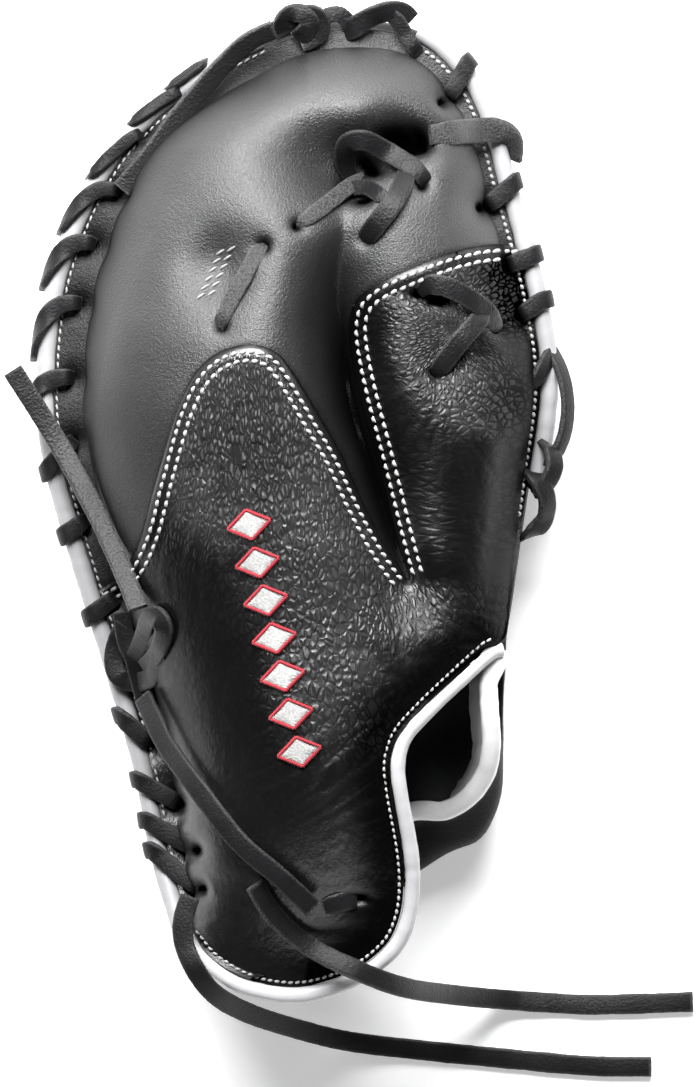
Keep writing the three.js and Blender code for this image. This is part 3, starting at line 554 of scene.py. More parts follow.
def weld_grid(grid):
    """Points and faces of a grid with coinciding points joined. Returns points, faces and first numbers."""
    rows, cols = grid.shape[:2]
    flat = grid.reshape(-1, 3)
    key = np.round(flat * 1e6).astype(np.int64)
    _, first, back = np.unique(key, axis=0, return_index=True, return_inverse=True)
    number = np.arange(rows * cols).reshape(rows, cols)
    quads = np.stack([number[:-1, :-1], number[:-1, 1:], number[1:, 1:], number[1:, :-1]], -1).reshape(-1, 4)
    quads = back.reshape(-1)[quads]
    rolled = np.roll(quads, -1, axis=1)
    whole = (quads != rolled).all(1) & (quads[:, 0] != quads[:, 2]) & (quads[:, 1] != quads[:, 3])
    faces = quads[whole].tolist()
    for q in quads[~whole].tolist():
        kept = [v for i, v in enumerate(q) if v not in q[:i]]
        if len(kept) == 3:
            faces.append(kept)
    return flat[first], faces, first


def face_outward(obj):
    bm = bmesh.new()
    bm.from_mesh(obj.data)
    bmesh.ops.recalc_face_normals(bm, faces=bm.faces)
    bm.to_mesh(obj.data)
    bm.free()


def per_vertex(obj, key):
    out = np.empty(len(obj.data.vertices) * 3)
    obj.data.vertices.foreach_get(key, out)
    return out.reshape(-1, 3)


def coords(obj):
    return per_vertex(obj, "co")


def set_coords(obj, points):
    obj.data.vertices.foreach_set("co", np.ascontiguousarray(points, float).ravel())
    obj.data.update()


def normals(obj):
    return per_vertex(obj, "normal")


def select_only(obj):
    bpy.ops.object.select_all(action="DESELECT")
    obj.select_set(True)
    bpy.context.view_layer.objects.active = obj


def apply_modifier(obj, kind, **settings):
    select_only(obj)
    modifier = obj.modifiers.new(kind.title(), kind)
    for key, value in settings.items():
        setattr(modifier, key, value)
    bpy.ops.object.modifier_apply(modifier=modifier.name)


def smooth(obj, angle=0.9):
    select_only(obj)
    bpy.ops.object.shade_smooth_by_angle(angle=angle)


def tag(obj, name, values):
    """A number per vertex, read by the material."""
    layer = obj.data.attributes.new(name, "FLOAT", "POINT")
    layer.data.foreach_set("value", np.asarray(values, np.float32))


def tube(name, route, sides, wide, high, side=None, square=1.0):
    """Sweep along a route. side sets the level width direction; square above 1 flattens the section."""
    route = np.asarray(route, float)
    t = tangents(route)
    w = level_side(route) if side is None else unit(np.asarray(side, float))
    u = unit(np.cross(w, t))
    angle = np.arange(sides) * 2 * np.pi / sides
    a, b = (np.sign(v) * np.abs(v) ** (1 / square) for v in (np.cos(angle), np.sin(angle)))
    n = len(route)
    wide, high = (np.broadcast_to(np.asarray(v, float), (n,))[:, None, None] / 2 for v in (wide, high))
    rings = route[:, None, :] + w[:, None, :] * (a[None, :, None] * wide)
    rings = rings + u[:, None, :] * (b[None, :, None] * high)
    number = np.arange(n * sides).reshape(n, sides)
    nxt = np.roll(number, -1, axis=1)
    faces = np.stack([number[:-1], number[1:], nxt[1:], nxt[:-1]], -1).reshape(-1, 4).tolist()
    made = new_object(name, rings.reshape(-1, 3), faces + [number[0].tolist(), number[-1][::-1].tolist()])
    face_outward(made)
    return made


# Shader maths


class Wire:
    """A socket that takes part in arithmetic."""

    def __init__(self, shade, socket):
        self.shade = shade
        self.socket = socket

    def _math(self, operation, a, b):
        return self.shade.node("ShaderNodeMath", {"operation": operation}, {0: a, 1: b})

    def __add__(self, other):
        return self._math("ADD", self, other)

    def __sub__(self, other):
        return self._math("SUBTRACT", self, other)

    def __rsub__(self, other):
        return self._math("SUBTRACT", other, self)

    def __mul__(self, other):
        return self._math("MULTIPLY", self, other)

    __radd__, __rmul__ = __add__, __mul__

    def clamp(self):
        return self.shade.node("ShaderNodeClamp", {}, {0: self, 1: 0.0, 2: 1.0})


class Shade:
    """A material and the one way that nodes are added to it."""

    def __init__(self, name):
        self.material = bpy.data.materials.new(name)
        self.material.use_nodes = True
        self.tree = self.material.node_tree
        self.surface = self.tree.nodes["Principled BSDF"]

    def node(self, kind, settings=None, values=None, out=0):
        made = self.tree.nodes.new(kind)
        for key, value in (settings or {}).items():
            setattr(made, key, value)
        for key, value in (values or {}).items():
            self.link(value, made.inputs[key])
        return Wire(self, made.outputs[out])

    def link(self, value, socket):
        if isinstance(value, Wire):
            self.tree.links.new(value.socket, socket)
        else:
            socket.default_value = value

    def set(self, **sockets):
        for key, value in sockets.items():
            self.link(value, self.surface.inputs[key.replace("_", " ")])

    def paint_shade(self, share):
        """Painted shade: a black surface mixed in by the share, black wherever the share is 1, as deep inside a
        hole.
        """
        black = self.tree.nodes.new("ShaderNodeBsdfDiffuse")
        black.inputs["Color"].default_value = (0.0004, 0.0004, 0.0004, 1)
        both = self.tree.nodes.new("ShaderNodeMixShader")
        self.link(share, both.inputs[0])
        self.tree.links.new(self.surface.outputs[0], both.inputs[1])
        self.tree.links.new(black.outputs[0], both.inputs[2])
        self.tree.links.new(both.outputs[0], self.tree.nodes["Material Output"].inputs["Surface"])

    def place(self):
        return self.node("ShaderNodeTexCoord", {}, {}, "Object")

    def noise(self, scale, detail=3.0, rough=0.55, warp=0.0):
        values = {"Vector": self.place(), "Scale": scale, "Detail": detail}
        values.update({"Roughness": rough, "Distortion": warp})
        return self.node("ShaderNodeTexNoise", {"noise_dimensions": "3D"}, values)

    def cells(self, scale, feature="F1"):
        values = {"Vector": self.place(), "Scale": scale}
        return self.node("ShaderNodeTexVoronoi", {"feature": feature}, values)

    def bent(self, place, scale, amount):
        """A place moved about by noise."""
        drift = self.node("ShaderNodeTexNoise", {}, {"Vector": place, "Scale": scale, "Detail": 2.0}, "Color")
        shift = self.node("ShaderNodeVectorMath", {"operation": "SUBTRACT"}, {0: drift, 1: (0.5, 0.5, 0.5)})
        shift = self.node("ShaderNodeVectorMath", {"operation": "SCALE"}, {0: shift, "Scale": amount})
        return self.node("ShaderNodeVectorMath", {"operation": "ADD"}, {0: place, 1: shift})

    def mask(self, name):
        return self.node("ShaderNodeAttribute", {"attribute_name": name}, {}, "Fac")

    def step(self, value, low, high):
        values = {"Value": value, "From Min": low, "From Max": high, "To Min": 0.0, "To Max": 1.0}
        return self.node("ShaderNodeMapRange", {"interpolation_type": "SMOOTHSTEP"}, values)

    def tones(self, share, base, dark, light):
        """A colour between a darker and a lighter tone of one base."""
        return self.mix(share, [c * dark for c in base], [c * light for c in base])

    def mix(self, share, a, b):
        made = self.tree.nodes.new("ShaderNodeMix")
        made.data_type = "RGBA"
        self.link(share, made.inputs["Factor"])
        for value, socket in ((a, made.inputs[6]), (b, made.inputs[7])):
            self.link(value if isinstance(value, Wire) else (*value, 1.0), socket)
        return Wire(self, made.outputs[2])

    def bump(self, height, strength, distance, under=None):
        values = {"Height": height, "Strength": strength, "Distance": distance}
        if under is not None:
            values["Normal"] = under
        return self.node("ShaderNodeBump", {}, values)


def colour(name):
    return tuple(getattr(bpy.context.scene.mitt_colours, name))


def smooth_leather(name="smooth_leather", base=None, grain=1.0, shine=0.9):
    s = Shade(name)
    base = base or colour("smooth")
    broad = s.noise(28, 4)
    fine = s.noise(2600, 2)
    pebble = s.cells(1250, "SMOOTH_F1")
    tone = s.tones(s.step(broad, 0.35, 0.7), base, 0.8, 1.25)
    rough = 0.37 + broad * 0.05 + s.step(fine, 0.35, 0.65) * 0.1
    first = s.bump(pebble, 0.55 * grain, 0.00026)
    second = s.bump(s.noise(260, 3), 0.03 * grain, 0.0004, first)
    s.set(Base_Color=tone, Roughness=rough, Normal=s.bump(fine, 0.9 * grain, 0.0003, second))
    s.set(Specular_IOR_Level=shine)
    # Painted shade from the piece's shade attribute.
    s.paint_shade(s.mask("shade"))
    return s.material


def tumbled_leather():
    s = Shade("tumbled_leather")
    base = colour("tumbled")
    broad = s.noise(30, 4)
    small = s.cells(1700, "F1")
    fold = s.mask("fold")
    grainy = s.mask("grainy")
    places = {"X": s.mask("grain_across"), "Y": s.mask("grain_along") * 0.36}
    drawn = s.node("ShaderNodeCombineXYZ", {}, places)
    drawn = s.bent(drawn, 420, 0.0009)
    edge = s.node("ShaderNodeTexVoronoi", {"feature": "DISTANCE_TO_EDGE"}, {"Vector": drawn, "Scale": 900})
    plump = s.step(edge, 0.0, 0.34)
    valley = (1 - s.step(edge, 0.02, 0.2)) * grainy
    tone = s.tones(s.step(broad, 0.35, 0.7), base, 0.8, 1.3)
    # Painted highlight: the tops of the pebbles take a colour seven times lighter.
    tone = s.mix(s.step(edge, 0.14, 0.42) * grainy, tone, [c * 7 for c in base])
    # Painted shade in the valleys between pebbles, in the wrinkles and along the folded edge.
    tone = s.mix((fold * 0.8 + valley * 0.7).clamp(), tone, [c * 0.2 for c in base])
    rough = 0.27 + broad * 0.05 + grainy * 0.25 + fold * 0.25 + valley * 0.3
    first = s.bump(plump * grainy, 1.0, 0.0007)
    second = s.bump(s.noise(300, 3, 0.6, 0.6) * (grainy + 0.15), 0.12, 0.0005, first)
    s.set(Base_Color=tone, Roughness=rough, Normal=s.bump(1 - small, 0.3, 0.00014, second))
    s.set(Specular_IOR_Level=0.85)
    # Painted shade: black mixed in from the shade attribute and in the valleys between pebbles.
    s.paint_shade((s.mask("shade") + valley * 0.55).clamp())
    return s.material


def rawhide(name="rawhide", lighter=0.0, shine=0.21, grain=1.2):
    s = Shade(name)
    base = colour("lace")
    flesh = colour("flesh")
    raw = s.mask("raw")
    streak = s.noise(1900, 4, 0.75)
    broad = s.noise(60, 3)
    tone = s.tones(s.step(broad, 0.3, 0.7), base, 0.75, 1.3)
    share = (raw * 0.9 + lighter) * s.step(streak, 0.4, 0.58)
    tone = s.mix(share, tone, flesh)
    rough = 0.35 + streak * 0.12 + share * 0.3
    first = s.bump(streak, 0.4 + 0.5 * lighter, 0.0003)
    second = s.bump(s.cells(1300, "SMOOTH_F1"), 0.5 * grain, 0.00025, first)
    s.set(Base_Color=tone, Roughness=rough, Normal=s.bump(s.noise(2400, 2), 0.4 * grain, 0.00012, second))
    s.set(Specular_IOR_Level=shine)
    return s.material


def binding_leather(name, base):
    s = Shade(name)
    broad = s.noise(70, 3)
    wrinkle = s.noise(500, 3, 0.6, 0.4)
    grime = s.step(s.noise(160, 4, 0.65), 0.52, 0.75)
    tone = s.tones(s.step(broad, 0.3, 0.7), base, 0.93, 1)
    tone = s.mix(grime * 0.18, tone, [c * 0.7 for c in base])
    first = s.bump(wrinkle, 0.22, 0.0003)
    s.set(Base_Color=tone, Roughness=0.42 + broad * 0.12, Normal=s.bump(s.cells(1800), 0.15, 0.0001, first))
    s.set(Coat_Weight=0.1, Coat_Roughness=0.3)
    return s.material


def thread(name, base):
    s = Shade(name)
    ply = s.noise(1600, 2, 0.5)
    tone = s.tones(s.step(ply, 0.35, 0.65), base, 0.72, 1)
    s.set(Base_Color=tone, Roughness=0.6 + ply * 0.1, Normal=s.bump(ply, 0.5, 0.0002))
    s.set(Sheen_Weight=0.3, Sheen_Roughness=0.4)
    return s.material


def lining():
    s = Shade("lining")
    base = colour("lining")
    nap = s.noise(1400, 3, 0.7)
    tone = s.tones(s.step(s.noise(45, 3), 0.35, 0.7), base, 0.75, 1.2)
    s.set(Base_Color=tone, Roughness=0.8 + nap * 0.1, Normal=s.bump(nap, 0.4, 0.0002))
    return s.material


def give(obj, *materials):
    obj.data.materials.clear()
    for m in materials:
        obj.data.materials.append(m)


MADE = {}


def finish_piece(obj, slot, materials, *nodes):
    """Dress a piece, tie it to the frame and keep it for the pieces that follow."""
    give(obj, *materials)
    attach(obj, "root")
    if nodes:
        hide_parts(*nodes)
    MADE[obj.name] = obj


def skin_of(*names):
    """A search tree over finished pieces, for laying things on them."""
    points, faces = [], []
    for name in names:
        obj = MADE[name]
        start = len(points)
        points += [v.co.copy() for v in obj.data.vertices]
        faces += [[i + start for i in p.vertices] for p in obj.data.polygons]
    return BVHTree.FromPolygons(points, faces)


def drop(skin, x, y, above=0.2):
    """Height and normal of the skin under a plan point."""
    hit, normal, _, _ = skin.ray_cast(Vector((x, y, above)), Vector((0, 0, -1)))
    return (None, None) if hit is None else (hit.z, normal)


# Operators


class MITT_OT_studio(bpy.types.Operator):
    """Add the floor, the lights and the camera"""

    bl_idname = "mitt.studio"
    bl_label = "Studio"

    def execute(self, context):
        scene = context.scene
        bpy.ops.object.select_all(action="DESELECT")
        bpy.ops.mesh.primitive_plane_add(size=6.0, location=(0, 0, -0.0002))
        floor = context.object
        floor.name = "floor"
        s = Shade("floor_paper")
        tone = s.mix(s.noise(3, 2), (0.88, 0.88, 0.885), (0.9, 0.9, 0.9))
        s.set(Base_Color=tone, Roughness=0.9, Emission_Color=(1, 1, 1, 1), Emission_Strength=0.35)
        give(floor, s.material)
        floor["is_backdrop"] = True
        # Name, place, power, width, height and aim.
        lights = [
            ("light_key", (-0.1, 0.75, 0.87), 52, 1.0, 0.6, (0.0, 0.05, 0.05)),
            ("light_low", (0.05, 1.15, 0.42), 8, 1.2, 0.5, (0.0, 0.1, 0.05)),
            ("light_heel", (0.25, -1.1, 0.4), 4, 1.2, 0.4, (0.0, -0.1, 0.05)),
            ("light_side", (-0.8, 0.45, 0.62), 0.7, 0.4, 0.4, (0.0, 0.08, 0.05)),
        ]
        for name, place, power, wide, high, aim in lights:
            data = bpy.data.lights.new(name, "AREA")
            data.shape = "RECTANGLE"
            data.energy, data.size, data.size_y = power, wide, high
            lamp = bpy.data.objects.new(name, data)
            scene.collection.objects.link(lamp)
            lamp.location = place
            lamp.rotation_euler = (Vector(aim) - Vector(place)).to_track_quat("-Z", "Y").to_euler()
        world = bpy.data.worlds.new("studio")
        scene.world = world
        world.use_nodes = True
        sky = world.node_tree
        where = sky.nodes.new("ShaderNodeTexCoord")
        split = sky.nodes.new("ShaderNodeSeparateXYZ")
        both = sky.nodes.new("ShaderNodeMath")
        both.operation = "MULTIPLY"
        sky.links.new(where.outputs["Generated"], split.inputs[0])
        # Bright low down and dark overhead, and brighter beyond the fingertips than behind the wrist.
        for i, (axis, *limits) in enumerate((("Z", 0.5, 0.8, 0.26, 0.012), ("Y", -0.6, 0.6, 0.35, 1.0))):
            fade = sky.nodes.new("ShaderNodeMapRange")
            fade.interpolation_type = "SMOOTHSTEP"
            for socket, value in zip(("From Min", "From Max", "To Min", "To Max"), limits):
                fade.inputs[socket].default_value = value
            sky.links.new(split.outputs[axis], fade.inputs["Value"])
            sky.links.new(fade.outputs[0], both.inputs[i])
        sky.links.new(both.outputs[0], sky.nodes["Background"].inputs["Strength"])
        sky.nodes["Background"].inputs["Color"].default_value = (1, 1, 1, 1)
        scene.view_settings.view_transform = "Standard"
        scene.view_settings.look = "None"
        lens = bpy.data.cameras.new("camera")
        lens.sensor_width = 36
        lens.lens = lens.sensor_width * (CAMERA[2] - CAMERA_AIM_HEIGHT) / (PHOTO_HIGH * PHOTO_SCALE)
        lens.clip_end = 50
        camera = bpy.data.objects.new("camera", lens)
        scene.collection.objects.link(camera)
        camera.location = CAMERA
        camera.rotation_euler = (0, 0, 0)
        scene.camera = camera
        return {"FINISHED"}


def lace(name, line, wide, thick, up, seed, hide, node=None, plain=False):
    """A strip of rawhide along even points: rounded flat section, slightly uneven, raw edges marked."""
    sides = 16
    step = float(np.linalg.norm(np.diff(line, axis=0), axis=1).mean())
    run = np.arange(len(line)) * step
    width = wide * (1 + 0.035 * wobble(run, 0.006, seed, 0.5) + 0.02 * wobble(run, 0.0015, seed, 3.5))
    height = thick * (1 + 0.05 * wobble(run, 0.004, seed, 7.5))
    side = np.cross(tangents(line), np.broadcast_to(up, line.shape))
    made = tube(name, line, sides, width, height, side, square=2.6)
    across = np.cos(np.arange(sides) * 2 * np.pi / sides)
    bare = smoothstep(0.55, 0.9, np.abs(across)) * np.where(across > 0, 1.0, 0.55)
    values = np.tile(bare, len(line))
    if not plain:
        values[:sides] = values[-sides:] = 1
    points = coords(made)
    fuzz = ripple(points[:, 0] * 900 + seed, points[:, 1] * 900 + points[:, 2] * 700, seed + 5)
    set_coords(made, points + normals(made) * (fuzz * 0.00005)[:, None])
    tag(made, "raw", values)
    smooth(made, 0.8)
    finish_piece(made, "lace", [hide], *([node] if node else []))
    return made


def lay(rows, skin, step=FINE):
    """Even points on a strand whose rows give the lift above the leather, and the leather's normals."""
    rows = np.asarray(rows, float)
    xy = plan(rows[:, :2])
    heights, ups = [], []
    for x, y in xy:
        turns = np.arange(8) * math.pi / 4
        around = [(0.0, 0.0)] + [(0.0045 * math.cos(a), 0.0045 * math.sin(a)) for a in turns]
        found = [drop(skin, x + dx, y + dy) for dx, dy in around]
        found = [(z, n) for z, n in found if z is not None]
        if not found:
            hit, n, _, _ = skin.find_nearest(Vector((x, y, heights[-1] if heights else 0.04)))
            found = [(hit.z, n)]
        heights.append(float(np.mean([z for z, _ in found])))
        up = np.mean([np.array(n) * (1 if n.z > 0 else -1) for _, n in found], axis=0)
        ups.append(up / np.linalg.norm(up))
    points = np.column_stack([xy, np.array(heights) + rows[:, 2] / 10000])
    ups = np.array(ups) + [0, 0, 1.2]
    line = smooth_line(np.column_stack([points, ups]), step)
    made = along_line(line[:, :3], step)
    share = np.linspace(0, 1, len(made))
    up = np.stack([np.interp(share, np.linspace(0, 1, len(line)), line[:, k]) for k in (3, 4, 5)], 1)
    return made, unit(up)


def tilted(line, angle):
    """Upward directions along a line, rolled about it by an angle that fades out toward the end."""
    side = level_side(line)
    up = np.cross(side, tangents(line))
    roll = (angle * np.linspace(1, 0, len(line)) ** 0.5)[:, None]
    return up * np.cos(roll) + side * np.sin(roll)


class MITT_OT_tails(bpy.types.Operator):
    """Lay the loose rawhide tails"""

    bl_idname = "mitt.tails"
    bl_label = "Loose tails"

    def execute(self, context):
        sizes = context.scene.mitt_sizes
        MADE["hide"] = rawhide()
        MADE["dark_hide"] = dark = rawhide("rawhide_dark", 0.0, 0.17, 0.8)
        MADE["grainy_hide"] = grainy_hide = rawhide("rawhide_grainy", 0.05, 0.3, 1.6)
        for name, rows, length, tilt, hide in (
            ("top_tail", TOP_TAIL, 0.072, -0.5, grainy_hide),
            ("side_tail", SIDE_TAIL, 0.093, 0.15, grainy_hide),
            ("lower_tail", LOWER_TAIL, 0.089, 0.4, dark),
            ("heel_tail_upper", HEEL_TAIL_UPPER, 0.175, -0.35, dark),
            ("heel_tail_lower", HEEL_TAIL_LOWER, 0.196, 0.15, dark),
        ):
            route = plan(rows)
            line = smooth_line(route, 0.001)
            up = tilted(line, tilt)
            made = lace("lace_" + name, line, sizes.lace_width, sizes.lace_thickness, up, 1, hide, name)
            tuple(route[0])
        return {"FINISHED"}


def panel_edges():
    """Edges of the tumbled panel round the finger lobe and round the thumb lobe."""
    return [smooth_line(plan(rows), FINE) for rows in (FINGER_EDGE, THUMB_EDGE)]


class MITT_OT_smooth_back(bpy.types.Operator):
    """Form the smooth leather of the back"""

    bl_idname = "mitt.smooth_back"
    bl_label = "Smooth back"

    def execute(self, context):
        grid = back_grid(*SMOOTH_GRID)
        points, faces, _ = weld_grid(grid)
        made = new_object("smooth_back", points, faces)
        p, n = coords(made), normals(made)
        x, y = p[:, 0], p[:, 1]
        relief = 0.0006 * ripple(x / 0.035, y / 0.035, 3) + 0.00025 * ripple(x / 0.013, y / 0.013, 4)
        relief -= pucker(x, y)
        set_coords(made, p + n * relief[:, None])
        rim, _ = distance_to(p, BACK.data[:, :2])
        # Painted shade near the rim, stronger on the left side.
        rim_shade = 0.6 * (1 - smoothstep(0.005, 0.024, rim)) * np.where(x < 0, 1.0, 0.6)
        # Painted shade over the left flank of the back.
        left_x, left_y = plan([[190, 500]])[0]
        flank_shade = 0.5 * np.exp(-(((x - left_x) / 0.03) ** 2) - ((y - left_y) / 0.05) ** 2)
        rim_shade = np.maximum(rim_shade, flank_shade)
        # The shade attribute: painted shade in the holes, in the slot, near the rim and over the left flank.
        tag(made, "shade", np.max([hole_shade(x, y), slot_shade(x, y), rim_shade], axis=0))
        apply_modifier(made, "SOLIDIFY", thickness=SHELL - 0.0003, offset=-1.0, use_even_offset=False)
        smooth(made)
        finish_piece(made, "smooth_leather", [smooth_leather()], "outer_shell")
        return {"FINISHED"}


def pucker(x, y):
    """Leather drawn in at each lace hole."""
    total = np.zeros_like(x)
    for cx, cy in RIM_HOLES:
        d2 = (x - cx) ** 2 + (y - cy) ** 2
        total += 0.002 * np.exp(-d2 / 0.0045**2) + 0.001 * np.exp(-d2 / 0.0022**2)
    for cx, cy, rx, ry, deep in plan_holes():
        d2 = ((x - cx) / rx) ** 2 + ((y - cy) / ry) ** 2
        total += deep * (np.exp(-d2) + 0.35 * np.exp(-d2 / 6))
    return total


def plan_holes():
    """Lace holes of the back in metres: centre, radii and depth."""
    for across, along, wide, long, deep in HOLES:
        (cx, cy) = plan([[across, along]])[0]
        yield cx, cy, wide / 10000, long / 10000, deep / 10000


def hole_shade(x, y):
    """Darkness in and round the lace holes, from 0 to 1."""
    total = np.zeros_like(x)
    for cx, cy in RIM_HOLES:
        total = np.maximum(total, np.exp(-((x - cx) ** 2 + (y - cy) ** 2) / 0.0024**2))
    for cx, cy, rx, ry, _ in plan_holes():
        d2 = ((x - cx) / rx) ** 2 + ((y - cy) / ry) ** 2
        total = np.maximum(total, np.exp(-(d2**1.5)))
    return np.clip(total * 1.3, 0, 1)


def slot_shade(x, y):
    """Painted shade deep in the slot between the lobes, and painted shadow along the edge of the tumbled panel,
    from 0 to 1.
    """
    along = (y - CORNER[1]) / LENGTH
    slot = read_at(CROWN, along * 1000)[:, 3] / 1000 * WIDTH + CORNER[0]
    window = smoothstep(0.34, 0.42, along) * (1 - smoothstep(0.62, 0.74, along))
    reach, _ = distance_to(np.stack([x, y], 1), plan(FINGER_EDGE + THUMB_EDGE[1:]))
    deep = 0.9 * np.exp(-(((x - slot) / 0.0058) ** 2)) * window
    return np.maximum(deep, 0.6 * np.exp(-((reach / 0.0013) ** 2)))


class MITT_OT_hand_back(bpy.types.Operator):
    """Form the tumbled leather panel with its two lobes"""

    bl_idname = "mitt.hand_back"
    bl_label = "Hand back"

    def execute(self, context):
        finger, thumb = panel_edges()
        far = 0.3
        closing = np.array([[far, thumb[-1, 1]], [far, -far], [-far, -far], [-far, finger[0, 1]]])
        polygon = np.concatenate([finger, thumb[1:], closing])
        edge_line = np.concatenate([finger, thumb[1:]])
        points, faces, _ = weld_grid(back_grid(*TUMBLED_GRID))
        kept_inside = inside(points[:, :2], polygon)
        faces = [f for f in faces if any(kept_inside[v] for v in f)]
        used = np.unique(np.concatenate([np.asarray(f) for f in faces]))
        renumber = np.full(len(points), -1)
        renumber[used] = np.arange(len(used))
        faces = [[renumber[v] for v in f] for f in faces]
        made = new_object("tumbled_back", points[used], faces)
        p, n = coords(made), normals(made)
        outer = ~kept_inside[used]
        reach, nearest = distance_to(p, edge_line)
        move = np.where(outer[:, None], nearest - p[:, :2], 0)
        fall = (n[:, :2] * move).sum(1) / np.maximum(n[:, 2], 0.3)
        p[:, 2] -= np.clip(fall, -0.002, 0.002)
        p[:, :2] += move
        reach = np.where(outer, 0, reach)
        set_coords(made, p)
        n = normals(made)
        x, y = p[:, 0], p[:, 1]
        fold = tumble(x, y)
        near_edge = np.exp(-((reach / 0.0011) ** 2))
        rows = sum(np.exp(-(((reach - row) / 0.0007) ** 2)) for row in (0.0022, 0.0048))
        calm = smoothstep(0.004, 0.009, reach)
        relief = 0.0021 + 0.0006 * ripple(x / 0.03, y / 0.03, 8)
        relief += fold * calm - 0.0015 * near_edge - 0.00045 * rows - pucker(x, y)
        set_coords(made, p + n * relief[:, None])
        # Painted shade: the fold attribute darkens the colour in the wrinkles' valleys and along the folded
        # edge.
        tag(made, "fold", np.clip(-fold * calm / 0.0005, 0, 1) * 0.7 + near_edge * 0.6)
        grain = grainy(x, y)
        # Painted shade over the calm leather away from the grain, weaker toward the heel.
        low = 0.5 + 0.5 * smoothstep(0.16, 0.3, (y - CORNER[1]) / LENGTH)
        even = 0.68 * (1 - smoothstep(0.1, 0.6, grain)) * low
        rim, _ = distance_to(p, BACK.data[:, :2])
        # Painted shade near the right rim.
        flank_shade = 0.88 * (1 - smoothstep(0.006, 0.026, rim)) * (x > 0)
        # Painted shade at the slot's end.
        tip_x, tip_y = plan([[690, 418]])[0]
        notch = 0.75 * np.exp(-((x - tip_x) ** 2 + (y - tip_y) ** 2) / 0.0055**2)
        # The shade attribute: painted shade in the holes, over calm leather, near the right rim, at the slot's
        # end and along the folded edge.
        tag(made, "shade", np.max([hole_shade(x, y), even, flank_shade, notch, 0.9 * near_edge], axis=0))
        tag(made, "grainy", grain * smoothstep(0.002, 0.0075, reach))
        across, along = flow(x, y)
        tag(made, "grain_across", across)
        tag(made, "grain_along", along)
        apply_modifier(made, "SOLIDIFY", thickness=PANEL, offset=-1.0, use_even_offset=False)
        smooth(made)
        finish_piece(made, "tumbled_leather", [tumbled_leather()], "hand_back")
        MADE["skin"] = skin_of("smooth_back", "tumbled_back")
        return {"FINISHED"}


def flow(x, y):
    """Metres across and along the grain, which fans out above the finger lobe and round the thumb hole."""
    (ax, ay), (bx, by) = plan([[374, 902], [782, 670]])
    split = read_at(CROWN, (y - CORNER[1]) / LENGTH * 1000)[:, 3] / 1000 * WIDTH + CORNER[0]
    thumb = (x > split) & (y > plan([[0, 430]])[0, 1])
    across = np.where(thumb, np.arctan2(x - bx, by - y) * 0.014, np.arctan2(x - ax, ay - y) * 0.108)
    return across, np.where(thumb, np.hypot(x - bx, y - by) * 1.5, np.hypot(x - ax, y - ay))


def grainy(x, y):
    """Strength of the pebble grain over the tumbled leather, from 0 to 1."""
    share_x, share_y = (x - CORNER[0]) / WIDTH, (y - CORNER[1]) / LENGTH
    total = np.full_like(x, 0.05)
    for cx, cy, rx, ry, strong in GRAINY:
        d2 = ((share_x - cx / 1000) / (rx / 1000)) ** 2 + ((share_y - cy / 1000) / (ry / 1000)) ** 2
        total = np.maximum(total, strong / 1000 * np.exp(-(d2**1.5)))
    split = read_at(CROWN, share_y * 1000)[:, 3] / 1000
    border = np.exp(-(((share_y - 0.43) / 0.014) ** 2)) * smoothstep(0, 0.02, share_x - split)
    return total * (1 - border)


def creases(u, v, across, along, seed):
    """Sharp valleys that run along v."""
    bend = 0.6 * ripple(v / along * 0.7, u / across * 0.2, seed + 9)
    n = ripple(u / across + bend, v / along, seed)
    return -((1 - np.abs(n)) ** 4)


def tumble(x, y):
    """Wrinkles of the tumbled leather in metres."""
    share_x, share_y = (x - CORNER[0]) / WIDTH, (y - CORNER[1]) / LENGTH

    def spot(cx, cy, rx, ry):
        return np.exp(-(((share_x - cx) / rx) ** 2) - ((share_y - cy) / ry) ** 2)

    lobe = spot(0.39, 0.54, 0.17, 0.1)
    across, along = flow(x, y)
    total = lobe * 0.0012 * creases(across, along, 0.0024, 0.01, 21)
    total += lobe * 0.0002 * creases(y, x, 0.0035, 0.006, 22)
    # Folds from the slot's end down the lower back.
    tip_x, tip_y = plan([[690, 410]])[0]
    angle = np.arctan2(y - tip_y, x - tip_x)
    away = np.hypot(x - tip_x, y - tip_y)
    fan = spot(0.76, 0.375, 0.1, 0.045) * smoothstep(0.004, 0.012, away)
    total += fan * 0.0006 * creases(angle * 0.03, away, 0.0026, 0.014, 23)
    middle = spot(0.62, 0.38, 0.14, 0.12)
    slant = x * 0.87 + y * 0.5
    other = -x * 0.5 + y * 0.87
    total += middle * 0.00055 * creases(slant, other, 0.004, 0.013, 24)
    mouth = spot(0.6, 0.25, 0.13, 0.06)
    total += mouth * 0.0008 * creases(other, slant, 0.0032, 0.016, 25)
    thumb = spot(0.77, 0.6, 0.1, 0.06)
    hole_x, hole_y = plan([[756, 628]])[0]
    angle = np.arctan2(y - hole_y, x - hole_x)
    away = np.hypot(x - hole_x, y - hole_y)
    total += thumb * 0.0006 * creases(angle * 0.02, away, 0.0022, 0.012, 26)
    over = spot(0.82, 0.72, 0.08, 0.03)
    total += over * 0.0005 * creases(x, y, 0.0022, 0.009, 27)
    rough = 0.25 + 0.75 * grainy(x, y)
    total += rough * (0.0002 * creases(x, y, 0.003, 0.004, 28) + 0.00012 * ripple(x / 0.0016, y / 0.0016, 29))
    return total


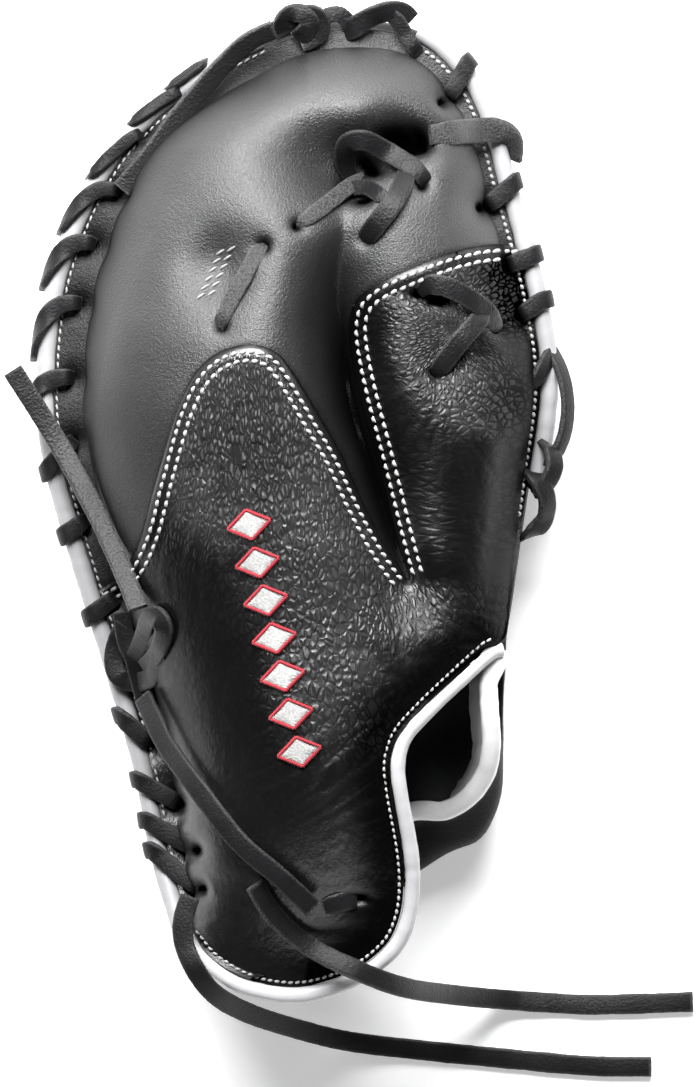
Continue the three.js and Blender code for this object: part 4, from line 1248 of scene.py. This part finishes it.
class MITT_OT_palm(bpy.types.Operator):
    """Form the padded palm with its rolled rim"""

    bl_idname = "mitt.palm"
    bl_label = "Palm"

    def execute(self, context):
        lower, upper = palm_grids(*PALM_GRID)
        points, faces, first = weld_grid(lower)
        top = upper.reshape(-1, 3)[first]
        n = len(points)
        flipped = [f[::-1] for f in faces]
        both = flipped + [[v + n for v in f] for f in faces]
        edges = {(a, f[(i + 1) % len(f)]): True for f in faces for i, a in enumerate(f)}
        both += [[a, b, b + n, a + n] for a, b in edges if (b, a) not in edges]
        made = new_object("padded_palm", np.concatenate([points, top]), both)
        face_outward(made)
        p, nn = coords(made), normals(made)
        x, y = p[:, 0], p[:, 1]
        relief = 0.0005 * ripple(x / 0.03, y / 0.03, 13) + 0.0002 * ripple(x / 0.01, y / 0.01, 14)
        relief = np.where(p[:, 2] < 0.003, 0, relief)
        p = p + nn * relief[:, None]
        p[:, 2] = np.maximum(p[:, 2], 0)
        set_coords(made, p)
        # Painted shade over the whole palm: half of its light and reflection taken out.
        tag(made, "shade", np.full(len(p), 0.5))
        smooth(made)
        inner = np.array([0] * len(flipped) + [1] * len(faces) + [0] * (len(both) - 2 * len(faces)), np.int32)
        leather = smooth_leather("palm_leather", colour("palm"), 0.9, 0.3)
        finish_piece(made, "palm_leather", [leather, lining()], "palm_shell")
        made.data.polygons.foreach_set("material_index", inner)
        return {"FINISHED"}


class MITT_OT_bindings(bpy.types.Operator):
    """Add the pale piping and the wrist bindings"""

    bl_idname = "mitt.bindings"
    bl_label = "Bindings"

    def execute(self, context):
        sizes = context.scene.mitt_sizes
        pale = binding_leather("binding_leather", colour("binding"))
        # The piping takes a darker copy of the pale leather: painted shade for the strong key light on it.
        welt = binding_leather("piping_leather", colour("piping"))
        for name, span in (("edge_binding", LEFT_WELT), ("thumb_binding", THUMB_WELT)):
            line = along_line(BACK.line(*span, PIPING_OUT, PIPING_UP), EVEN)
            run = np.arange(len(line)) * EVEN
            size = sizes.piping * (1 + 0.03 * wobble(run, 0.004, 31) + 0.02 * wobble(run, 0.0017, 32))
            made = tube("welt_" + name, line, 18, size, size)
            smooth(made)
            finish_piece(made, "binding", [welt], name)
        flap = BACK.line(*FLAP_BAND, BINDING_WIDE / 2, SHELL + PANEL / 2)
        lip = PALM.line(*PALM_BAND, -BINDING_WIDE / 2, BINDING_HIGH / 2 + GAP)
        lip[:, 0] -= 0.0004 + 0.0014 * smoothstep(-0.075, -0.055, lip[:, 1])
        corner = flap[0] + [-0.0002, -0.0006, -0.0022]
        lip = smooth_line([corner, (corner * 2 + lip[0]) / 3 + [0.0006, 0, 0], *lip[1::6]], EVEN)
        # Painted light: the lip takes a lighter copy of the binding leather, for the shade it lies in.
        lip_painted_light = binding_leather("binding_lip", [min(0.8, c * 1.74) for c in colour("binding")])
        for name, route, wide, look in (
            ("wrist_binding_back", flap, 0.0049, pale),
            ("wrist_binding_palm", lip, 0.006, lip_painted_light),
        ):
            line = along_line(route, EVEN)
            run = np.arange(len(line)) * EVEN
            size = 1 + 0.05 * wobble(run, 0.012, 33) + 0.025 * wobble(run, 0.0028, 34)
            made = tube("band_" + name, line, 20, wide * size, BINDING_HIGH * size, square=1.25)
            smooth(made)
            finish_piece(made, "binding", [look], name)
        # Facing under the lip, inside the mouth.
        line = along_line(lip, 0.0008)
        share = np.linspace(0, 1, len(line))
        inward = level_side(line)
        reach = 0.0026 * smoothstep(0.0, 0.12, share) * (1 - smoothstep(0.5, 0.72, share)) + 0.0008
        rows = []
        for d in np.linspace(0, 1, 9):
            wave = 0.0005 * wobble(share, 1 / 30, 36, d * 2.5) * d
            row = line + inward * (0.0018 + reach * d + wave)[:, None]
            row[:, 2] -= 0.0012 + 0.011 * d**1.3
            rows.append(row)
        points, faces, _ = weld_grid(np.array(rows))
        made = new_object("band_wrist_facing", points, faces)
        apply_modifier(made, "SOLIDIFY", thickness=0.0012, offset=0.0)
        smooth(made)
        finish_piece(made, "binding", [pale])
        return {"FINISHED"}


def over_piping(row, curved, step=0.0006):
    """Line of one lace stitch from its hole over the piping and down outside, with its surface directions."""
    hole, end = plan([row[:2], row[2:]])
    outward = BACK.out[BACK.nearest(*(hole if curved else end))]
    t = np.linspace(0, 1, 60)[:, None]
    if curved:
        corner = hole + outward * max(0.0, float((end - hole) @ outward)) * 0.92
        xy = hole * (1 - t) ** 2 + 2 * corner * t * (1 - t) + end * t**2
    else:
        xy = np.concatenate([hole * (1 - t) + end * t, end + outward * t[1:] * 0.008])
    top = GAP + SHELL + FLANGE_RISE
    crest = PIPING_UP + PIPING / 2 + 0.001
    reach = PIPING_OUT + PIPING / 2 + 0.0009
    points, ups = [], []
    for x, y in xy:
        j = BACK.nearest(x, y)
        edge, out = BACK.data[j], BACK.out[j]
        u = float((np.array([x, y]) - edge[:2]) @ out)
        if u > reach and not curved:
            break
        inner = smoothstep(-0.004, PIPING_OUT * 0.6, u)
        near = smoothstep(0, 0.16, np.linalg.norm(np.array([x, y]) - hole) / 0.01)
        height = (top + 0.0016) * (1 - inner) + crest * inner - 0.004 * (1 - near)
        turn = np.clip((u - PIPING_OUT) / (reach - PIPING_OUT), 0, 1)
        height = PIPING_UP + (height - PIPING_UP) * math.sqrt(max(0.0, 1 - turn**2))
        points.append([*(np.array([x, y]) + out * min(0.0, reach - u)), edge[2] + height])
        ups.append([*(out * math.sin(turn * math.pi / 2)), math.cos(turn * math.pi / 2) + 0.05])
    last = np.array(points[-1])
    away = (end - corner) / np.linalg.norm(end - corner) if curved else -out * 0.2
    for drop_by, slide in ((0.0022, 0.0008), (0.0044, 0.0014), (0.0066, 0.0018)):
        points.append(last + [*(away * slide), -drop_by])
        ups.append([*out, 0.05])
    both = along_line(np.column_stack([points, np.array(ups) * 1e-6]), step)
    line, ups = both[:, :3], unit(both[:, 3:])
    for _ in range(3):
        line[1:-1] = (line[:-2] + 2 * line[1:-1] + line[2:]) / 4
        ups[1:-1] = (ups[:-2] + 2 * ups[1:-1] + ups[2:]) / 4
    return line, ups


class MITT_OT_edge_lacing(bpy.types.Operator):
    """Lace the rim over the piping"""

    bl_idname = "mitt.edge_lacing"
    bl_label = "Edge lacing"

    def execute(self, context):
        sizes = context.scene.mitt_sizes
        for stem, rows in (("edge_lace", EDGE_LACES), ("thumb_lace", THUMB_LACES)):
            for i, row in enumerate(rows):
                curved = stem == "edge_lace" and i < 7
                line, up = over_piping(row, curved)
                share = np.linspace(0, 1, len(line))
                narrow = (0.38 if curved else 0.1) * smoothstep(0.5, 1.0, share)
                slim = (0.6, 0.66, 0.72, 0.9)[i] if curved and i < 4 else 1.0
                width = sizes.lace_width * slim * (0.7 + 0.2 * smoothstep(0.0, 0.3, share) - narrow)
                node = f"{stem}_{i + 1}"
                lace("stitch_" + node, line, width, sizes.lace_thickness, up, i + 40, MADE["dark_hide"], node)
        skin = MADE["skin"]
        for i, rows in enumerate((TOP_HOOK, TOP_STRAP, TOP_END)):
            line, up = lay(rows, skin)
            width, node = sizes.lace_width * (0.8, 1.05, 0.75)[i], f"top_lace_{i + 1}"
            lace("stitch_" + node, line, width, sizes.lace_thickness, up, i + 50, MADE["hide"], node)
        return {"FINISHED"}


class MITT_OT_back_lacing(bpy.types.Operator):
    """Lay the strands that show on the back"""

    bl_idname = "mitt.back_lacing"
    bl_label = "Back lacing"

    def execute(self, context):
        sizes = context.scene.mitt_sizes
        skin = MADE["skin"]
        hide, flesh = MADE["hide"], rawhide("rawhide_flesh", 0.85, 0.3, 1.6)
        strands = (
            ("cross_loop", CROSS_LOOP, 0.0064, hide, "back_lace_2"),
            ("cross_strand", CROSS_STRAND, 0.0066, hide, "back_lace_3"),
            ("tongue", TONGUE, 0.005, hide, None),
            ("flesh_right", FLESH_RIGHT, 0.0052, flesh, "back_lace_1"),
            ("flesh_left", FLESH_LEFT, 0.0052, flesh, "back_lace_4"),
            ("thumb_arch", THUMB_ARCH, 0.0063, hide, "back_lace_5"),
            ("thumb_strand", THUMB_STRAND, 0.0063, hide, "back_lace_6"),
            ("thumb_strap", THUMB_STRAP, 0.0078, flesh, "thumb_strap"),
            ("heel_strand", HEEL_STRAND, 0.006, hide, "heel_strand"),
        )
        for i, (name, rows, wide, look, node) in enumerate(strands):
            line, up = lay(rows, skin)
            share = np.linspace(0, 1, len(line))
            ends = smoothstep(0, 0.18, share) * smoothstep(0, 0.18, 1 - share)
            width = wide * (0.8 + 0.2 * ends)
            lace("strand_" + name, line, width, sizes.lace_thickness, up, i + 60, look, node, plain=True)
        out = unit(np.array([[1.0, 0.1, 0.75]]))[0]
        upright = (("thumb_loop", THUMB_LOOP, "thumb_loop"), ("thumb_cross", THUMB_CROSS, None))
        for name, rows, node in upright:
            line = smooth_line(plan(rows), 0.0008)
            width = sizes.lace_width * 0.85
            lace("strand_" + name, line, width, sizes.lace_thickness, out, 71, MADE["dark_hide"], node)
        return {"FINISHED"}


class MITT_OT_knots(bpy.types.Operator):
    """Tie the knots"""

    bl_idname = "mitt.knots"
    bl_label = "Knots"

    def execute(self, context):
        sizes = context.scene.mitt_sizes
        skin = MADE["skin"]
        for node, parts in (
            ("top_knot", (("top_wrap", TOP_WRAP), ("top_turn", TOP_TURN), ("top_core", TOP_CORE))),
            ("side_knot", (("side_core", SIDE_CORE), ("side_turn", SIDE_TURN), ("side_wrap", SIDE_WRAP))),
            ("thumb_knot", (("thumb_wrap", THUMB_WRAP), ("thumb_turn", THUMB_TURN))),
        ):
            hide = MADE["hide" if node == "top_knot" else "dark_hide"]
            for i, (name, rows) in enumerate(parts):
                if node == "thumb_knot":
                    line = smooth_line(plan(rows), 0.0007)
                    up = np.broadcast_to([0.6, 0.0, 0.8], line.shape)
                else:
                    line, up = lay(rows, skin)
                width, thick = sizes.lace_width * 0.95, sizes.lace_thickness * 1.1
                lace("tied_" + name, line, width, thick, up, 80 + i, hide, node if i == 0 else None)
        return {"FINISHED"}


def threads(name, ends, skin, wide, material, bow=0.35, sink=0.15, sides=6, rings=6):
    """Finished piece of short threads from point to point of the plan, lying on a skin."""
    s = np.linspace(-1, 1, rings)
    radius = np.sqrt(np.clip(1 - np.abs(s) ** 3, 0.06, 1))
    ang = np.arange(sides) * 2 * np.pi / sides
    ring = np.stack([np.cos(ang), np.sin(ang) * 0.85], 1) * wide / 2
    points, faces = [], []
    for a, b in ends:
        mid = (np.asarray(a) + np.asarray(b)) / 2
        z, n = drop(skin, mid[0], mid[1])
        if z is None:
            continue
        n = np.array(n) * (1 if n.z > 0 else -1)
        flat = np.array([b[0] - a[0], b[1] - a[1], 0.0])
        length = np.linalg.norm(flat)
        d = flat.copy()
        d[2] = -(n[0] * flat[0] + n[1] * flat[1]) / max(n[2], 0.35)
        d /= max(length, 1e-9)
        w = np.cross(n, d)
        w /= np.linalg.norm(w)
        u = np.cross(d, w)
        u /= np.linalg.norm(u)
        centre = np.array([mid[0], mid[1], z]) + n * wide * (0.5 - sink)
        start = len(points)
        for k in range(rings):
            at = centre + d * (s[k] * length / 2) - u * (bow * wide * s[k] ** 2)
            points.extend(at + radius[k] * (w * ring[:, :1] + u * ring[:, 1:]))
        for k in range(start, start + (rings - 1) * sides, sides):
            for j in range(sides):
                p, q = k + j, k + (j + 1) % sides
                faces.append([p, q, q + sides, p + sides])
        faces.append([start + j for j in range(sides)][::-1])
        faces.append([start + (rings - 1) * sides + j for j in range(sides)])
    made = new_object(name, points, faces)
    smooth(made, 1.2)
    finish_piece(made, "binding", [material])


def stitch_run(name, line, skin, pitch, wide, material, share=0.76, slant=0.16):
    """A row of slightly slanting stitches along a plan line."""
    line = along_line(line[:, :2], pitch)
    mids = (line[1:] + line[:-1]) / 2
    ahead = tangents(line)[:-1]
    across = np.stack([-ahead[:, 1], ahead[:, 0]], 1)
    half = (ahead * math.cos(slant) + across * math.sin(slant)) * pitch * share / 2
    threads(name, list(zip(mids - half, mids + half)), skin, wide, material)


class MITT_OT_stitching(bpy.types.Operator):
    """Sew the visible stitch rows"""

    bl_idname = "mitt.stitching"
    bl_label = "Stitching"

    def execute(self, context):
        sizes = context.scene.mitt_sizes
        skin = MADE["skin"]
        white = thread("thread_pale", colour("thread"))
        finger, thumb = panel_edges()
        fine = sizes.thread * 0.7
        # Name, line, pitch and thread.
        rows = [
            ("finger_outer", beside(finger, OUTER_ROW), 0.0028, sizes.thread),
            ("finger_inner", beside(finger, INNER_ROW), 0.0028, sizes.thread),
            ("thumb_outer", beside(thumb, OUTER_ROW), 0.003, sizes.thread),
            ("thumb_inner", beside(thumb, INNER_ROW), 0.003, sizes.thread),
            ("rim_left", BACK.line(*LEFT_WELT, -0.0007), 0.0026, fine * 0.75),
            ("rim_right", BACK.line([707, 968], [905, 480], -0.0012), 0.0022, sizes.thread * 0.85),
            ("flap", BACK.line([850, 355], [300, 64], -0.0011), 0.0021, fine),
        ]
        for name, line, pitch, wide in rows:
            stitch_run("stitches_" + name, line, skin, pitch, wide, white)
        return {"FINISHED"}


def even_skin():
    """A search tree over the back without its wrinkles."""
    points, faces, _ = weld_grid(back_grid(*EVEN_GRID))
    made = new_object("even_back", points, faces)
    p, n = coords(made), normals(made)
    p = p + n * (0.0023 + 0.0006 * ripple(p[:, 0] / 0.03, p[:, 1] / 0.03, 8))[:, None]
    bpy.data.meshes.remove(made.data)
    return BVHTree.FromPolygons([Vector(v) for v in p], faces)


class MITT_OT_embroidery(bpy.types.Operator):
    """Sew the generic row of lozenges and the small bar tacks"""

    bl_idname = "mitt.embroidery"
    bl_label = "Embroidery"

    def execute(self, context):
        skin = even_skin()
        white = thread("thread_satin", colour("satin"))
        red = thread("thread_red", colour("red"))
        first, last = plan(MOTIFS)
        ahead = (last - first) / np.linalg.norm(last - first)
        across = np.array([-ahead[1], ahead[0]])
        half = np.array(MOTIF_SIZE) / 1000 * [WIDTH, LENGTH]
        fill, border = [], []
        for i in range(MOTIF_COUNT):
            centre = first + (last - first) * i / (MOTIF_COUNT - 1)
            for v in np.arange(-1, 1.001, 0.00042 / half[1]):
                reach = half[0] * (1 - abs(v)) * 0.94
                if reach > 0.0006:
                    at = centre + ahead * v * half[1] * 0.94
                    fill.append((at - across * reach, at + across * reach))
            turns = (across * half[0], ahead * half[1], -across * half[0], -ahead * half[1], across * half[0])
            loop = along_line([centre + turn for turn in turns], 0.00062)
            for a, b in zip(loop[:-1], loop[1:]):
                d = (b - a) / np.linalg.norm(b - a)
                n = np.array([-d[1], d[0]])
                m = (a + b) / 2
                border.append((m - n * 0.0006 - d * 0.0002, m + n * 0.0006 + d * 0.0002))
        threads("embroidery_fill", fill, skin, 0.00066, white, 0.7, -0.1, 6, 7)
        threads("embroidery_border", border, skin, 0.0009, red, 0.4, -0.1, 5, 4)
        bars = []
        for k, along in enumerate(np.linspace(750, 706, 6)):
            for side in (0, 1):
                at = plan([[368 - side * 20 - k * 7, along - side * 3]])[0]
                bars.append((at + [-0.0013, -0.0009], at + [0.0013, 0.0009]))
        threads("bar_tacks", bars, MADE["skin"], 0.0008, thread("thread_grey", colour("grey")))
        return {"FINISHED"}


def length(name, words, value):
    return FloatProperty(name=name, description=words, default=value, unit="LENGTH")


def tint(name, words, value):
    return FloatVectorProperty(name=name, description=words, default=value, subtype="COLOR", min=0, max=1)


class MittSizes(bpy.types.PropertyGroup):
    """Sizes a maker would change"""

    lace_width: length("Lace width", "Width of the rawhide lace", 0.0063)
    lace_thickness: length("Lace thickness", "Thickness of the rawhide lace", 0.0022)
    piping: length("Piping", "Diameter of the pale welt", PIPING)
    thread: length("Thread", "Width of the thread", 0.00125)


class MittColours(bpy.types.PropertyGroup):
    """Colours a maker would change"""

    smooth: tint("Smooth leather", "Smooth leather of the back", (0.007, 0.007, 0.0074))
    tumbled: tint("Tumbled leather", "Tumbled leather of the hand back", (0.007, 0.007, 0.0074))
    palm: tint("Palm leather", "Leather of the palm", (0.006, 0.006, 0.0065))
    # Binding and piping are one pale leather; the piping's darker tone is painted shade for the strong key
    # light on it.
    binding: tint("Binding", "Wrist bindings", (0.46, 0.46, 0.47))
    piping: tint("Piping", "Welt of the rim", (0.34, 0.34, 0.348))
    lace: tint("Lace", "Grain side of the rawhide lace", (0.007, 0.007, 0.0076))
    flesh: tint("Lace flesh", "Raw edges and flesh side of the lace", (0.068, 0.068, 0.069))
    thread: tint("Thread", "Thread of the seams", (0.4, 0.4, 0.39))
    satin: tint("Satin thread", "Fill of the embroidery", (0.42, 0.42, 0.415))
    red: tint("Red thread", "Border of the embroidery", (0.34, 0.005, 0.018))
    grey: tint("Grey thread", "Bar tacks", (0.28, 0.28, 0.28))
    lining: tint("Lining", "Inner lining", (0.02, 0.02, 0.021))


class MITT_PT_panel(bpy.types.Panel):
    """Buttons that build the mitt piece by piece"""

    bl_idname = "MITT_PT_panel"
    bl_label = "First baseman mitt"
    bl_space_type = "VIEW_3D"
    bl_region_type = "UI"
    bl_category = "Mitt"

    def draw(self, context):
        layout = self.layout
        for group in (context.scene.mitt_sizes, context.scene.mitt_colours):
            for key in group.bl_rna.properties.keys():
                if key not in ("rna_type", "name"):
                    layout.prop(group, key)
        for operator in OPERATORS:
            layout.operator(operator.bl_idname)


OPERATORS = (
    MITT_OT_studio,
    MITT_OT_tails,
    MITT_OT_smooth_back,
    MITT_OT_hand_back,
    MITT_OT_palm,
    MITT_OT_bindings,
    MITT_OT_edge_lacing,
    MITT_OT_back_lacing,
    MITT_OT_knots,
    MITT_OT_stitching,
    MITT_OT_embroidery,
)
CLASSES = (MittSizes, MittColours, *OPERATORS, MITT_PT_panel)


def register():
    for cls in CLASSES:
        bpy.utils.register_class(cls)
    bpy.types.Scene.mitt_sizes = PointerProperty(type=MittSizes)
    bpy.types.Scene.mitt_colours = PointerProperty(type=MittColours)


def unregister():
    del bpy.types.Scene.mitt_colours
    del bpy.types.Scene.mitt_sizes
    for cls in reversed(CLASSES):
        bpy.utils.unregister_class(cls)


def main():
    register()
    for operator in OPERATORS:
        group, name = operator.bl_idname.split(".")
        getattr(getattr(bpy.ops, group), name)()
    boxes = {"cad": CAD_BOX, "visual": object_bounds()}
    plain = {key: [[float(v) for v in corner] for corner in box] for key, box in boxes.items()}


if __name__ == "__main__":
    main()
